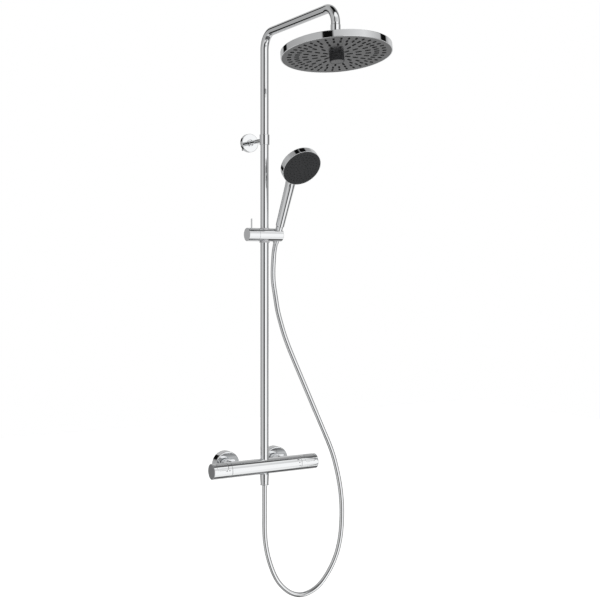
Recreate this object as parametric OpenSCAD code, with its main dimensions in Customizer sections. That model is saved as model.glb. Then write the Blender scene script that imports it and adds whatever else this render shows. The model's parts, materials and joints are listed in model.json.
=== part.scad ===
// Rainfall shower column: a wall-mounted bar thermostat with a riser, a swivelling overhead
// spray on a ball joint, and a handset on a clamped slider.
// Origin: the midpoint between the two wall inlets, on the finished wall.
// +X runs right along the wall, +Y goes into the wall, +Z is up.

/* [Thermostat bar] */
// Distance from the finished wall to the riser and bar axis
riser_out = 92; // [88:1:110]
// Distance between the two wall inlets
inlet_gap = 150; // [146:1:154]
// Overall length over both handles
bar_len = 312; // [308:1:330]
// Outside diameter of the bar and its handles
bar_d = 41; // [41:0.5:44]
// Length of each handle
handle_len = 52; // [50:1:56]
// Diameter of each inlet rosette
rosette_d = 70; // [60:1:76]
// Depth of each inlet rosette
rosette_depth = 24; // [18:1:28]

/* [Riser and arm] */
// Outside diameter of the tubes
tube_d = 22; // [22:0.5:23]
// Height of the arm's axis above the inlets
arm_z = 1147; // [1100:1:1250]
// Distance from the riser to the axis of the overhead spray
arm_reach = 350; // [320:5:450]
// Bend radius of the arm at the tube's axis
bend_r = 42; // [30:1:45]
// Height of the wall bracket above the inlets
bracket_z = 866; // [850:1:900]

/* [Overhead spray] */
// Diameter of the head
head_d = 265; // [250:1:280]
// Height of the head's rim
head_t = 16.3; // [15.5:0.1:20]
// Forward tilt at rest, front edge up
head_tilt = 8; // [0:1:12]
// Height of the centre selector knob below the face
knob_h = 16; // [12:1:20]

/* [Slider and handset] */
// Height of the slider above the inlets
slider_z = 614; // [560:1:680]
// Outside diameter of the slider and its clamp knob
slider_d = 35; // [35:0.5:38]
// Distance from the riser to the holder's bore
holder_x = 40; // [40:1:46]
// Forward lean of the handset
handset_lean = 27; // [27:1:27]
// Diameter of the handset's head
handset_d = 105; // [100:1:110]
// Outside diameter of the hose
hose_d = 13; // [12:0.5:13]

/* [Hidden] */
$fn = 64;
eps = 0.01;

// Thermostat bar
bar_r = bar_d / 2;
handle_gap = 0.4;
body_half = bar_len / 2 - handle_len;
handle_start = body_half + handle_gap;
handle_end = bar_len / 2;
handle_wall = 2.3;
cartridge_r = 15;
cartridge_depth = 42;
nose_r = 9;
nose_len = 3.4;
nut_len = 6;
spindle_r = 4;
button_len = 32;
button_w = 22;
button_corner = 5;
button_angle = 45;
button_gap = 0.3;
button_start = handle_start + 10.5;

// Wall connections
stud_r = 10.48;
stud_len = 20;
union_barrel_r = 15;
union_end = -53;
filter_t = 2;
nozzle_r = 11;
nozzle_bore_r = 8;

// Tubes
tube_r = tube_d / 2;
tube_bore_r = tube_r - 1.5;
tube_seat_z = 12.6;
slip = 0.05;
collar_h = 27;
collar_r = 13.25;

// Bottom outlet
nipple_r = 10.2;
nut_top_z = -bar_r - 0.7;
nut_bottom_z = -50;
hose_end_z = -36.5;
hose_r = hose_d / 2;

// Overhead spray
drop_y = -riser_out - arm_reach;
drop_end_z = arm_z - 55;
nut_groove_z = arm_z - 45.5;
ball_z = arm_z - 85;
ball_r = 12;
seat_r = 13.6;
seat_high = 6;
seat_low = -10;
head_r = head_d / 2;
head_bottom = -33.7;
head_top = head_bottom + head_t;
nozzle_rings = [[31, 10, 12], [53, 16, 12], [75, 24, 11], [95, 40, 10], [113, 40, 8]];
pad_w = 3.4;
knob_r = 17.75;

// Slider and holder
slider_r = slider_d / 2;
slider_left = -21;
slider_right = 49.5;
knob_left = -53;
lever_x = -38.8;
lever_r = 2;
liner_r = 12.5;
bore_low_r = 8.2;
bore_high_r = 9.9;
bore_half = 20;
cone_gap = 0.25;
nut_low = -24;
nut_high = 27;
hose_top = -8;

// Handset, measured along its handle from the holder's bore centre
handle_low = 27.6;
handle_high = 160;
handle_low_r = 11.6;
handle_high_r = 13.3;
face_along = 207.6;
face_forward = 37.4;
face_turn = 76.5;
handset_r = handset_d / 2;
handset_side = 18;
handset_back = 28;
handset_back_r = 34;
neck_low = 155;
neck_lean = 28;
neck_len = 42;

// Route of the hose below the handset's cone nut, down to the bottom outlet
hose_points = [
    [41, -71, 570], [42, -66, 550], [42, -63, 520], [43, -63, 488], [46, -68, 452],
    [50, -74, 412], [57, -80, 376], [65, -86, 343], [75, -92, 311], [87, -98, 278],
    [99, -104, 246], [111, -111, 213], [123, -117, 181], [135, -123, 149],
    [147, -130, 116], [159, -136, 84], [171, -142, 52], [181, -147, 20],
    [188, -152, -13], [193, -157, -46], [196, -161, -78], [197, -164, -110],
    [196, -166, -145], [193, -166, -185], [187, -164, -221], [178, -160, -253],
    [164, -155, -284], [146, -149, -312], [130, -143, -329], [114, -136, -340],
    [98, -129, -346], [82, -122, -346], [66, -115, -340], [51, -108, -328],
    [37, -102, -311], [25, -98, -288], [15, -95, -260], [7, -93, -229],
    [2, -92, -197], [0, -92, -164], [0, -92, -132], [0, -92, -100], [0, -92, -68]
];
hose_axis = [0, -sin(handset_lean), cos(handset_lean)];
bore_centre = [holder_x, -riser_out, slider_z];
hose_route = concat(
    [bore_centre + hose_top * hose_axis, bore_centre + (nut_low - 2) * hose_axis],
    hose_points,
    [[0, -riser_out, hose_end_z]]
);
hose_split = 6;
hose_sides = 10;

// ---------- Helpers ----------

// A cylinder along X from x0 to x1
module along_x(x0, x1, r) {
    translate([x0, 0, 0]) rotate([0, 90, 0]) cylinder(h = x1 - x0, r = r);
}

// A cylinder along Y from y0 to y1
module along_y(y0, y1, r) {
    translate([0, y1, 0]) rotate([90, 0, 0]) cylinder(h = y1 - y0, r = r);
}

// A ring along X
module ring_x(x0, x1, r_out, r_in) {
    difference() {
        along_x(x0, x1, r_out);
        along_x(x0 - 1, x1 + 1, r_in);
    }
}

// A ring along Y
module ring_y(y0, y1, r_out, r_in) {
    difference() {
        along_y(y0, y1, r_out);
        along_y(y0 - 1, y1 + 1, r_in);
    }
}

// A ring along Z
module ring_z(z0, z1, r_out, r_in) {
    translate([0, 0, z0]) difference() {
        cylinder(h = z1 - z0, r = r_out);
        translate([0, 0, -1]) cylinder(h = z1 - z0 + 2, r = r_in);
    }
}

// A solid of revolution along Z from [radius, height] points
module turned(points) {
    rotate_extrude() polygon(points);
}

// The bar's axis, which the riser meets
module on_bar() {
    translate([0, -riser_out, 0]) children();
}

// Both ends of the bar: the right one as drawn, and its mirror image on the left
module both_ends() {
    children();
    mirror([1, 0, 0]) children();
}

module left_end() {
    mirror([1, 0, 0]) children();
}

// Both wall inlets
module both_inlets() {
    for (side = [-1, 1]) {
        translate([side * inlet_gap / 2, 0, 0]) children();
    }
}

// The ball joint's centre, tilted with the head
module on_ball() {
    translate([0, drop_y, ball_z]) rotate([-head_tilt, 0, 0]) children();
}

// The slider's centre on the riser
module on_slider() {
    translate([0, -riser_out, slider_z]) children();
}

// The holder's bore, with Z along the handset's handle
module on_holder() {
    translate(bore_centre) rotate([handset_lean, 0, 0]) children();
}

// The handset's face centre, with Z pointing away from the spray
module on_face() {
    on_holder() translate([0, -face_forward, face_along]) rotate([-face_turn, 0, 0]) children();
}

// ---------- Hose sweep ----------

function unit(v) = v / norm(v);

function route_direction(points, i) =
    unit(points[min(i + 1, len(points) - 1)] - points[max(i - 1, 0)]);

// One ring of the tube, square to the route, turned from the wall's direction
function hose_ring(points, i) =
    let (t = route_direction(points, i))
    let (b = unit([0, 1, 0] - t[1] * t))
    let (a = cross(b, t))
    [for (k = [0 : hose_sides - 1])
        points[i] + hose_r * (cos(k * 360 / hose_sides) * a + sin(k * 360 / hose_sides) * b)];

function ring_corner(i, k) = i * hose_sides + k % hose_sides;

module hose_tube(first, last) {
    count = last - first + 1;
    corners = [for (i = [first : last]) for (p = hose_ring(hose_route, i)) p];
    walls = [for (i = [0 : count - 2]) for (k = [0 : hose_sides - 1]) for (face = [
        [ring_corner(i, k), ring_corner(i, k + 1), ring_corner(i + 1, k + 1)],
        [ring_corner(i, k), ring_corner(i + 1, k + 1), ring_corner(i + 1, k)]
    ]) face];
    start_cap = [for (k = [hose_sides - 1 : -1 : 0]) ring_corner(0, k)];
    end_cap = [for (k = [0 : hose_sides - 1]) ring_corner(count - 1, k)];
    polyhedron(points = corners, faces = concat(walls, [start_cap, end_cap]));
}

// ---------- Thermostat bar ----------

module inlet_nozzle() {
    along_y(-riser_out + 8, -58, nozzle_r);
    along_y(-58, union_end - filter_t, 12.8);
}

module valve_body() {
    color("silver") difference() {
        union() {
            on_bar() along_x(-body_half, body_half, bar_r);
            both_inlets() inlet_nozzle();
        }
        // cartridge chambers and their threaded mouths
        on_bar() both_ends() {
            along_x(body_half - cartridge_depth, body_half + 1, cartridge_r + 0.2);
            along_x(body_half - nut_len - 0.8, body_half + 1, 17.2);
        }
        // mixing passage between the chambers
        on_bar() along_x(-body_half, body_half, 6.5);
        both_inlets() along_y(-riser_out, 0, nozzle_bore_r);
        // riser socket above, outlet thread below
        on_bar() translate([0, 0, tube_seat_z - 0.1]) cylinder(h = 20, r = tube_r + 0.1);
        on_bar() cylinder(h = 20, r = 8.05);
        on_bar() translate([0, 0, -30]) cylinder(h = 30, r = 8.55);
    }
}

module wall_unions() {
    color("goldenrod") both_inlets() difference() {
        union() {
            along_y(0, stud_len, stud_r);
            along_y(-30, 0, union_barrel_r);
            along_y(-36, -30, 14.2);
            along_y(union_end, -36, 13.2);
        }
        along_y(union_end - 1, stud_len + 1, 7);
    }
}

module union_nuts() {
    color("silver") both_inlets() difference() {
        translate([0, -40, 0]) rotate([90, 0, 0]) cylinder(h = 26, r = 18.5, $fn = 6);
        along_y(-58.2, -39, 13.3);
        along_y(-67, -58, nozzle_r + 0.2);
    }
}

module inlet_filters() {
    color("gray") both_inlets() ring_y(union_end - filter_t, union_end, 12.6, 7);
}

module check_valves() {
    color("white") both_inlets() difference() {
        along_y(-74, -56, nozzle_bore_r - 0.1);
        along_y(-75, -62, 5);
        along_y(-60, -55, 5);
    }
}

module inlet_rosette() {
    rotate([90, 0, 0]) turned([
        [rosette_d / 2 - 1.5, 0], [rosette_d / 2, 0],
        [rosette_d / 2, rosette_depth - 1.5], [rosette_d / 2 - 1.5, rosette_depth],
        [union_barrel_r + 0.2, rosette_depth], [union_barrel_r + 0.2, rosette_depth - 1.5],
        [rosette_d / 2 - 1.5, rosette_depth - 1.5]
    ]);
}

module rosette_left() {
    color("silver") translate([-inlet_gap / 2, 0, 0]) inlet_rosette();
}

module rosette_right() {
    color("silver") translate([inlet_gap / 2, 0, 0]) inlet_rosette();
}

// A cartridge pushed into the right-hand chamber, with a bore for its spindle
module cartridge() {
    difference() {
        union() {
            along_x(body_half - cartridge_depth + 1, body_half - nut_len - 0.8, cartridge_r);
            along_x(body_half - nut_len - 0.8, body_half + nose_len, nose_r);
        }
        along_x(body_half - 12, body_half + nose_len + 1, spindle_r + slip);
    }
}

// Ports cut in a cartridge's skirt, from the first angle, evenly spaced
module cartridge_ports(count, at_x, r) {
    for (i = [0 : count - 1]) {
        rotate([i * 360 / count, 0, 0]) translate([at_x, 0, 8]) cylinder(h = 10, r = r);
    }
}

module thermostat_cartridge() {
    color("gold") on_bar() left_end() difference() {
        cartridge();
        cartridge_ports(4, body_half - cartridge_depth + 9, 3);
        cartridge_ports(4, body_half - cartridge_depth + 20, 3);
    }
}

module diverter_cartridge() {
    color("gold") on_bar() difference() {
        cartridge();
        cartridge_ports(3, body_half - cartridge_depth + 9, 3.5);
    }
}

module cartridge_nuts() {
    color("goldenrod") on_bar() both_ends()
        ring_x(body_half - nut_len - 0.7, body_half - 0.5, 17, nose_r + 0.3);
}

// Each ring limits its handle's turn with a lug
module stop_rings() {
    color("white") on_bar() both_ends() {
        ring_x(body_half + 0.5, body_half + 2.8, 12.5, nose_r + 0.1);
        translate([body_half + 0.5, -2, -15]) cube([2.3, 4, 3]);
    }
}

module outlet_nipple() {
    color("goldenrod") on_bar() difference() {
        union() {
            translate([0, 0, -34.4]) cylinder(h = 34.4 - bar_r, r = nipple_r);
            translate([0, 0, -bar_r - eps]) cylinder(h = 10.6, r = 8.5);
        }
        translate([0, 0, -40]) cylinder(h = 40, r = 6);
    }
}

module outlet_nut() {
    color("silver") on_bar() turned([
        [nipple_r + 0.15, nut_top_z], [12, nut_top_z], [10.7, nut_bottom_z + 2.5],
        [11.3, nut_bottom_z + 2], [11.3, nut_bottom_z], [hose_r + 0.5, nut_bottom_z],
        [hose_r + 0.5, hose_end_z], [nipple_r + 0.15, hose_end_z]
    ]);
}

module outlet_washer() {
    color("dimgray") on_bar() ring_z(hose_end_z, hose_end_z + 2, 9.8, 5.5);
}

// ---------- Riser ----------

module riser_nipple() {
    color("goldenrod") on_bar() difference() {
        union() {
            translate([0, 0, 4]) cylinder(h = 8.6, r = 8);
            translate([0, 0, tube_seat_z]) cylinder(h = 32, r = tube_bore_r - 0.15);
        }
        translate([0, 0, 3]) cylinder(h = 43, r = 6);
        for (z = [24, 34]) {
            ring_z(z, z + 2, 12, 8.2);
        }
    }
}

module riser_tube() {
    color("silver") on_bar() ring_z(tube_seat_z, bracket_z - 0.3, tube_r, tube_bore_r);
}

// The arm turns on the upper half of this sleeve
module arm_coupling() {
    color("goldenrod") on_bar() difference() {
        translate([0, 0, bracket_z - 30]) cylinder(h = 60, r = tube_bore_r - slip);
        translate([0, 0, bracket_z - 31]) cylinder(h = 62, r = 6.8);
        for (z = [-18, 10, 18]) {
            ring_z(bracket_z + z, bracket_z + z + 2, 12, 8.2);
        }
    }
}

// One seal of round section, lying in its groove
module o_ring(z) {
    translate([0, 0, z + 1]) rotate_extrude() translate([8.85, 0]) circle(r = 0.57, $fn = 24);
}

module o_rings() {
    color("dimgray") on_bar() for (z = [24, 34, bracket_z - 18, bracket_z + 10, bracket_z + 18]) {
        o_ring(z);
    }
}

module bracket_collar() {
    color("silver") on_bar() difference() {
        translate([0, 0, bracket_z - collar_h / 2]) turned([
            [tube_r + 0.1, 0], [collar_r - 0.6, 0], [collar_r, 0.6], [collar_r, collar_h - 0.6],
            [collar_r - 0.6, collar_h], [tube_r + 0.1, collar_h]
        ]);
        translate([0, 0, bracket_z]) along_y(5, 20, 5.6);
        translate([0, 0, bracket_z - 8]) along_x(-20, -5, 2);
    }
}

module collar_grub_screw() {
    color("dimgray") on_bar() translate([0, 0, bracket_z - 8]) difference() {
        along_x(-13.1, -11.1, 1.9);
        translate([-14, 0, 0]) rotate([0, 90, 0]) cylinder(h = 1.9, r = 1, $fn = 6);
    }
}

module bracket_rod() {
    color("silver") translate([0, 0, bracket_z]) {
        along_y(-riser_out + 11.4, -10.3, 5.5);
        along_y(-10.3, -1, 3.9);
    }
}

module rod_flange() {
    color("silver") translate([0, 0, bracket_z]) rotate([90, 0, 0]) translate([0, 0, 11.1])
        turned([[5.6, 0], [9, 0], [9, 2], [7, 3.2], [5.6, 3.2]]);
}

module bracket_rosette() {
    color("silver") translate([0, 0, bracket_z]) rotate([90, 0, 0]) turned([
        [23.8, 0], [25, 0], [25, 10], [24, 11], [6, 11], [6, 10], [23.8, 10]
    ]);
}

module bracket_base() {
    color("gray") translate([0, 0, bracket_z]) difference() {
        union() {
            along_y(-4, 0, 21);
            along_y(-9.8, -4, 8.5);
        }
        along_y(-12, 1, 4);
        for (side = [-1, 1]) {
            translate([0, 0, side * 14.5]) {
                along_y(-5, 1, 2.4);
                translate([0, -4, 0]) rotate([-90, 0, 0])
                    translate([0, 0, -eps]) cylinder(h = 2.2, r1 = 4.5, r2 = 2.4);
            }
        }
    }
}

module wall_screws() {
    color("gray") translate([0, 0, bracket_z]) for (side = [-1, 1]) {
        translate([0, 0, side * 14.5]) {
            along_y(-2, 0.3, 2.1);
            along_y(0.3, 35, 2.25);
            difference() {
                translate([0, -4, 0]) rotate([-90, 0, 0]) cylinder(h = 2, r1 = 4.2, r2 = 2.25);
                translate([-0.5, -4.5, -4.5]) cube([1, 1.3, 9]);
            }
        }
    }
}

module hose_upper() {
    color("lightgray") hose_tube(0, hose_split);
}

module hose_lower() {
    color("lightgray") hose_tube(hose_split, len(hose_route) - 1);
}

// ---------- Handles ----------

// The rounded-rectangle prism of a button, along its press direction, grown by gap
module button_prism(gap) {
    corner = button_corner + gap;
    half_l = button_len / 2 + gap;
    half_w = button_w / 2 + gap;
    rotate([button_angle, 0, 0]) translate([button_start + button_len / 2, 0, 0])
        linear_extrude(height = 30) union() {
            square([2 * (half_l - corner), 2 * half_w], center = true);
            square([2 * half_l, 2 * (half_w - corner)], center = true);
            for (i = [-1, 1], k = [-1, 1]) {
                translate([i * (half_l - corner), k * (half_w - corner)]) circle(r = corner);
            }
        }
}

// A hollow handle with a slot for its button and a rounded rim round the end cap
module handle_shell() {
    inner = bar_r - handle_wall;
    difference() {
        rotate([0, 90, 0]) turned([
            [inner, handle_start], [bar_r - 0.3, handle_start], [bar_r, handle_start + 0.3],
            [bar_r, handle_end - 1.2], [bar_r - 1.2, handle_end], [inner, handle_end]
        ]);
        button_prism(button_gap);
    }
}

module handle_hub() {
    difference() {
        union() {
            along_x(handle_start + 4, handle_start + 9, bar_r - handle_wall - 0.1);
            along_x(handle_start + 4, handle_start + 22, 7.5);
        }
        along_x(handle_start + 3, handle_start + 20, spindle_r);
    }
}

module handle_cap() {
    along_x(handle_end - 3.5, handle_end - 0.3, bar_r - handle_wall - 0.1);
}

module spindle() {
    along_x(body_half - 11, handle_start + 19.5, spindle_r - eps);
}

// A curved button plate, its guide pin and its return spring's seat
module button_plate() {
    intersection() {
        ring_x(button_start - 1, button_start + button_len + 1, bar_r, bar_r - 2);
        button_prism(0);
    }
    rotate([button_angle, 0, 0]) translate([button_start + button_len / 2, 0, 11])
        cylinder(h = bar_r - 12.2, r = 3);
}

module temperature_handle() {
    color("silver") on_bar() left_end() handle_shell();
}

module temperature_hub() {
    color("white") on_bar() left_end() handle_hub();
}

module temperature_cap() {
    color("darkgray") on_bar() left_end() handle_cap();
}

module thermostat_spindle() {
    color("goldenrod") on_bar() left_end() spindle();
}

module safety_button() {
    color("silver") on_bar() left_end() button_plate();
}

module flow_handle() {
    color("silver") on_bar() handle_shell();
}

module flow_hub() {
    color("white") on_bar() handle_hub();
}

module flow_cap() {
    color("darkgray") on_bar() handle_cap();
}

module diverter_spindle() {
    color("goldenrod") on_bar() spindle();
}

module eco_button() {
    color("silver") on_bar() button_plate();
}

// ---------- Arm ----------

// The arm's centreline swept as a rod of radius r, lengthened at both ends by extra
module arm_rod(r, extra) {
    top = arm_z - bend_r;
    translate([0, -riser_out, bracket_z + 0.3 - extra])
        cylinder(h = top - bracket_z - 0.3 + extra, r = r);
    translate([0, -riser_out - bend_r, top]) rotate([90, 0, 90])
        rotate_extrude(angle = 90) translate([bend_r, 0]) circle(r = r);
    translate([0, 0, arm_z]) along_y(drop_y + bend_r, -riser_out - bend_r, r);
    translate([0, drop_y + bend_r, top]) rotate([90, 0, 90])
        rotate([0, 0, 90]) rotate_extrude(angle = 90) translate([bend_r, 0]) circle(r = r);
    translate([0, drop_y, drop_end_z - extra]) cylinder(h = top - drop_end_z + extra, r = r);
}

module arm_tube() {
    color("silver") difference() {
        arm_rod(tube_r, 0);
        arm_rod(tube_bore_r, 1);
    }
}

module on_drop() {
    translate([0, drop_y, 0]) children();
}

module arm_nut() {
    color("silver") on_drop() turned([
        [9.6, ball_z + 16], [11.4, ball_z + 16], [12, ball_z + 16.6],
        [12, nut_groove_z - 0.8], [11.6, nut_groove_z], [tube_r + slip, nut_groove_z],
        [tube_r + slip, drop_end_z - 2], [9.6, drop_end_z - 2]
    ]);
}

module arm_washer() {
    color("dimgray") on_drop() ring_z(drop_end_z - 2, drop_end_z, tube_r - 0.1, 5);
}

module ball_stem() {
    color("goldenrod") on_drop() difference() {
        union() {
            translate([0, 0, ball_z + 17]) cylinder(h = drop_end_z - 2 - ball_z - 17, r = 9.5);
            translate([0, 0, ball_z + 8]) cylinder(h = 9.5, r = 6);
            translate([0, 0, ball_z]) sphere(r = ball_r);
        }
        translate([0, 0, ball_z - 20]) cylinder(h = 60, r = 4);
    }
}

// ---------- Overhead spray ----------

// A ring between two spheres, so that it can lean one way and the collar the other
module ball_seat() {
    color("white") on_ball() difference() {
        sphere(r = seat_r);
        sphere(r = ball_r + 0.1);
        translate([0, 0, seat_high]) cylinder(h = 20, r = 20);
        translate([0, 0, seat_low - 20]) cylinder(h = 20, r = 20);
    }
}

module ball_collar() {
    color("silver") on_ball() difference() {
        turned([
            [0, -15.5], [16.4, -15.5], [17, -14.9], [17, 4], [14, 7], [0, 7]
        ]);
        sphere(r = seat_r + 0.1);
        translate([0, 0, -16]) cylinder(h = 16, r = 14.15);
        translate([0, 0, 6]) cylinder(h = 2, r = 9.9);
    }
}

module head_shell() {
    color("silver") on_ball() difference() {
        turned([
            [0, head_top + 1], [14, head_top + 1], [head_r - 1, head_top],
            [head_r, head_top - 1], [head_r, head_bottom + 0.6], [head_r - 0.6, head_bottom],
            [head_r - 2.2, head_bottom], [head_r - 2.2, head_top - 2],
            [14, head_top - 1.5], [0, head_top - 1.5]
        ]);
        translate([0, 0, head_top - 5]) cylinder(h = 10, r = 6.5);
    }
    color("silver") on_ball() difference() {
        ring_z(head_top + 1, -10.2, 14, 6.5);
        sphere(r = seat_r + 0.1);
    }
}

module head_chamber() {
    color("gray") on_ball() difference() {
        turned([
            [0, -24.5], [head_r - 6, -24.5], [head_r - 3, -27], [head_r - 2.6, -27],
            [head_r - 2.6, -22], [0, -22]
        ]);
        translate([0, 0, -30]) cylinder(h = 10, r = 6);
        for (i = [0 : 5]) {
            rotate([0, 0, i * 60]) translate([104, 0, -28]) cylinder(h = 8, r = 1.8);
        }
    }
}

module head_screws() {
    color("gray") on_ball() for (i = [0 : 5]) {
        rotate([0, 0, i * 60]) translate([104, 0, 0]) {
            translate([0, 0, -24.5]) cylinder(h = 4.6, r = 1.6);
            translate([0, 0, -26.2]) cylinder(h = 1.7, r = 3.2);
        }
    }
}

// Every spray pad of the head, grown by gap, from z0 to z1
module spray_pads(gap, z0, z1) {
    for (ring = nozzle_rings) {
        for (i = [0 : ring[1] - 1]) {
            rotate([0, 0, i * 360 / ring[1]])
                translate([ring[0] - ring[2] / 2 - gap, -pad_w / 2 - gap, z0])
                cube([ring[2] + 2 * gap, pad_w + 2 * gap, z1 - z0]);
        }
    }
}

module nozzle_mat() {
    color("dimgray") on_ball() {
        ring_z(-31, -29, head_r - 8, 20);
        spray_pads(0, head_bottom - 0.8, -30.5);
    }
}

module head_face() {
    color("gray") on_ball() difference() {
        ring_z(head_bottom + 0.4, -31.2, head_r - 2.4, 9.2);
        spray_pads(0.15, head_bottom - 1, -30);
    }
}

module selector_knob() {
    low = head_bottom - knob_h;
    color("dimgray") on_ball() difference() {
        union() {
            turned([
                [0, low], [knob_r - 1, low], [knob_r, low + 1], [knob_r, head_bottom],
                [0, head_bottom]
            ]);
            translate([0, 0, head_bottom - 1]) cylinder(h = 7, r = 9);
        }
        for (i = [0 : 35]) {
            rotate([0, 0, i * 10]) translate([knob_r + 0.5, 0, low - 1])
                cylinder(h = knob_h - 1, r = 1.1);
        }
    }
}

// ---------- Slider ----------

module slider_body() {
    color("silver") difference() {
        on_slider() along_x(slider_left, slider_right, slider_r);
        on_slider() translate([0, 0, -30]) cylinder(h = 60, r = liner_r + 0.05);
        on_slider() along_x(slider_left - 1, -10, 4.1);
        on_holder() translate([0, 0, -bore_half - 5]) cylinder(
            h = 2 * bore_half + 10,
            r1 = bore_low_r - 0.2, r2 = bore_high_r + 0.2
        );
        // side slot that lets the hose out
        on_holder() translate([0, -hose_r - 0.7, -40]) cube([40, 2 * hose_r + 1.4, 80]);
    }
}

module slider_liner() {
    color("dimgray") on_slider() {
        ring_z(-17.7, 18, liner_r, tube_r + slip);
        ring_z(-21, -17.7, 13.4, tube_r + slip);
    }
}

module clamp_knob() {
    color("silver") on_slider() difference() {
        union() {
            rotate([0, 90, 0]) turned([
                [0, knob_left], [slider_r - 0.6, knob_left], [slider_r, knob_left + 0.6],
                [slider_r, slider_left - 0.3], [0, slider_left - 0.3]
            ]);
            along_x(slider_left - 0.5, -19.4, 3);
        }
        translate([lever_x, 0, 8]) cylinder(h = 20, r = lever_r + slip);
    }
}

module clamp_lever() {
    color("silver") on_slider() translate([lever_x, 0, 0]) {
        translate([0, 0, 8]) cylinder(h = 32, r = lever_r);
        translate([0, 0, 40]) intersection() {
            sphere(r = lever_r);
            translate([-2 * lever_r, -2 * lever_r, 0]) cube(4 * lever_r);
        }
    }
}

module clamp_pad() {
    color("white") on_slider() along_x(-19, -12.7, 3.9);
}

// ---------- Handset ----------

module cone_nut() {
    color("silver") on_holder() turned([
        [hose_r + 0.3, nut_low], [bore_low_r - 0.2 - cone_gap, nut_low],
        [bore_high_r - cone_gap, bore_half], [9.9, nut_high - 0.5], [9.5, nut_high],
        [8.4, nut_high], [8.4, 12], [5, 12], [5, hose_top], [hose_r + 0.3, hose_top]
    ]);
}

// The handle's outside with its rounded top end, shrunk by wall
module handle_form(wall) {
    translate([0, 0, handle_low]) cylinder(
        h = handle_high - handle_low, r1 = handle_low_r - wall, r2 = handle_high_r - wall
    );
    translate([0, 0, handle_high]) sphere(r = handle_high_r - wall - eps);
}

module head_form() {
    cylinder(h = handset_side, r = handset_r);
    translate([0, 0, handset_side - eps]) cylinder(
        h = handset_back - handset_side, r1 = handset_r, r2 = handset_back_r
    );
}

// The neck that carries the handle's top into the back of the head
module handset_neck() {
    translate([0, 0, neck_low]) rotate([neck_lean, 0, 0])
        cylinder(h = neck_len, r1 = handle_high_r - 0.5, r2 = handle_high_r + 0.7);
}

module handset_handle() {
    color("silver") difference() {
        union() {
            on_holder() handle_form(0);
            on_holder() translate([0, 0, 14]) cylinder(h = handle_low - 12, r = 8.2);
            on_holder() handset_neck();
        }
        on_face() head_form();
        on_holder() translate([0, 0, 13]) cylinder(h = neck_low - 3, r = 7);
    }
}

module handset_shell() {
    color("silver") on_face() difference() {
        turned([
            [0, 6], [handset_r - 3.5, 6], [handset_r - 3.5, 0], [handset_r - 1.5, 0],
            [handset_r, 1.5], [handset_r, handset_side], [handset_back_r, handset_back - 2],
            [handset_back_r - 3, handset_back], [0, handset_back]
        ]);
        turned([
            [0, 5], [handset_r - 3.5, 5], [handset_r - 3.5, handset_side - 1],
            [handset_back_r - 2, handset_back - 4], [0, handset_back - 4]
        ]);
    }
}

module handset_face() {
    color("dimgray") on_face() difference() {
        translate([0, 0, 0.6]) cylinder(h = 3, r = handset_r - 3.7);
        handset_jets(1.3, -1, 5);
    }
}

// Small round jets of the handset, in rings
module handset_jets(r, z0, z1) {
    for (ring = [[17, 8], [25, 14], [33, 20], [41, 28]]) {
        for (i = [0 : ring[1] - 1]) {
            rotate([0, 0, i * 360 / ring[1]]) translate([ring[0], 0, z0]) cylinder(h = z1 - z0, r = r);
        }
    }
}

module handset_nozzles() {
    color("dimgray") on_face() {
        translate([0, 0, 3.7]) cylinder(h = 1.5, r = handset_r - 4);
        handset_jets(1.1, 0.1, 3.8);
    }
}

module handset_water_tube() {
    color("white") on_holder() ring_z(40, 150, 6.5, 5);
}

// ---------- Nodes ----------

valve_body();
wall_unions();
union_nuts();
inlet_filters();
check_valves();
rosette_left();
rosette_right();
thermostat_cartridge();
diverter_cartridge();
cartridge_nuts();
stop_rings();
outlet_nipple();
outlet_nut();
outlet_washer();
riser_nipple();
riser_tube();
o_rings();
arm_coupling();
bracket_collar();
bracket_rod();
rod_flange();
bracket_rosette();
bracket_base();
wall_screws();
collar_grub_screw();
hose_upper();
hose_lower();
temperature_handle();
temperature_hub();
temperature_cap();
thermostat_spindle();
safety_button();
flow_handle();
flow_hub();
flow_cap();
diverter_spindle();
eco_button();
arm_tube();
arm_nut();
arm_washer();
ball_stem();
ball_seat();
ball_collar();
head_shell();
head_chamber();
head_screws();
nozzle_mat();
head_face();
selector_knob();
slider_body();
slider_liner();
clamp_knob();
clamp_lever();
clamp_pad();
cone_nut();
handset_handle();
handset_shell();
handset_face();
handset_nozzles();
handset_water_tube();
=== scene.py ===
# %% [markdown]
# # Rainfall shower column
# This lesson dresses a finished CAD model of a wall-mounted shower column. The CAD model
# gives every piece its place and size, so this file never moves one. It swaps plain CAD
# skins for finely rounded meshes, gives each material its small-scale detail, lays the
# hose along its route, and lights the chrome the way a small product studio would.

# %% Load the frame
import json
import math

import bmesh
import bpy
import numpy as np
from mathutils import Matrix, Vector

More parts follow.
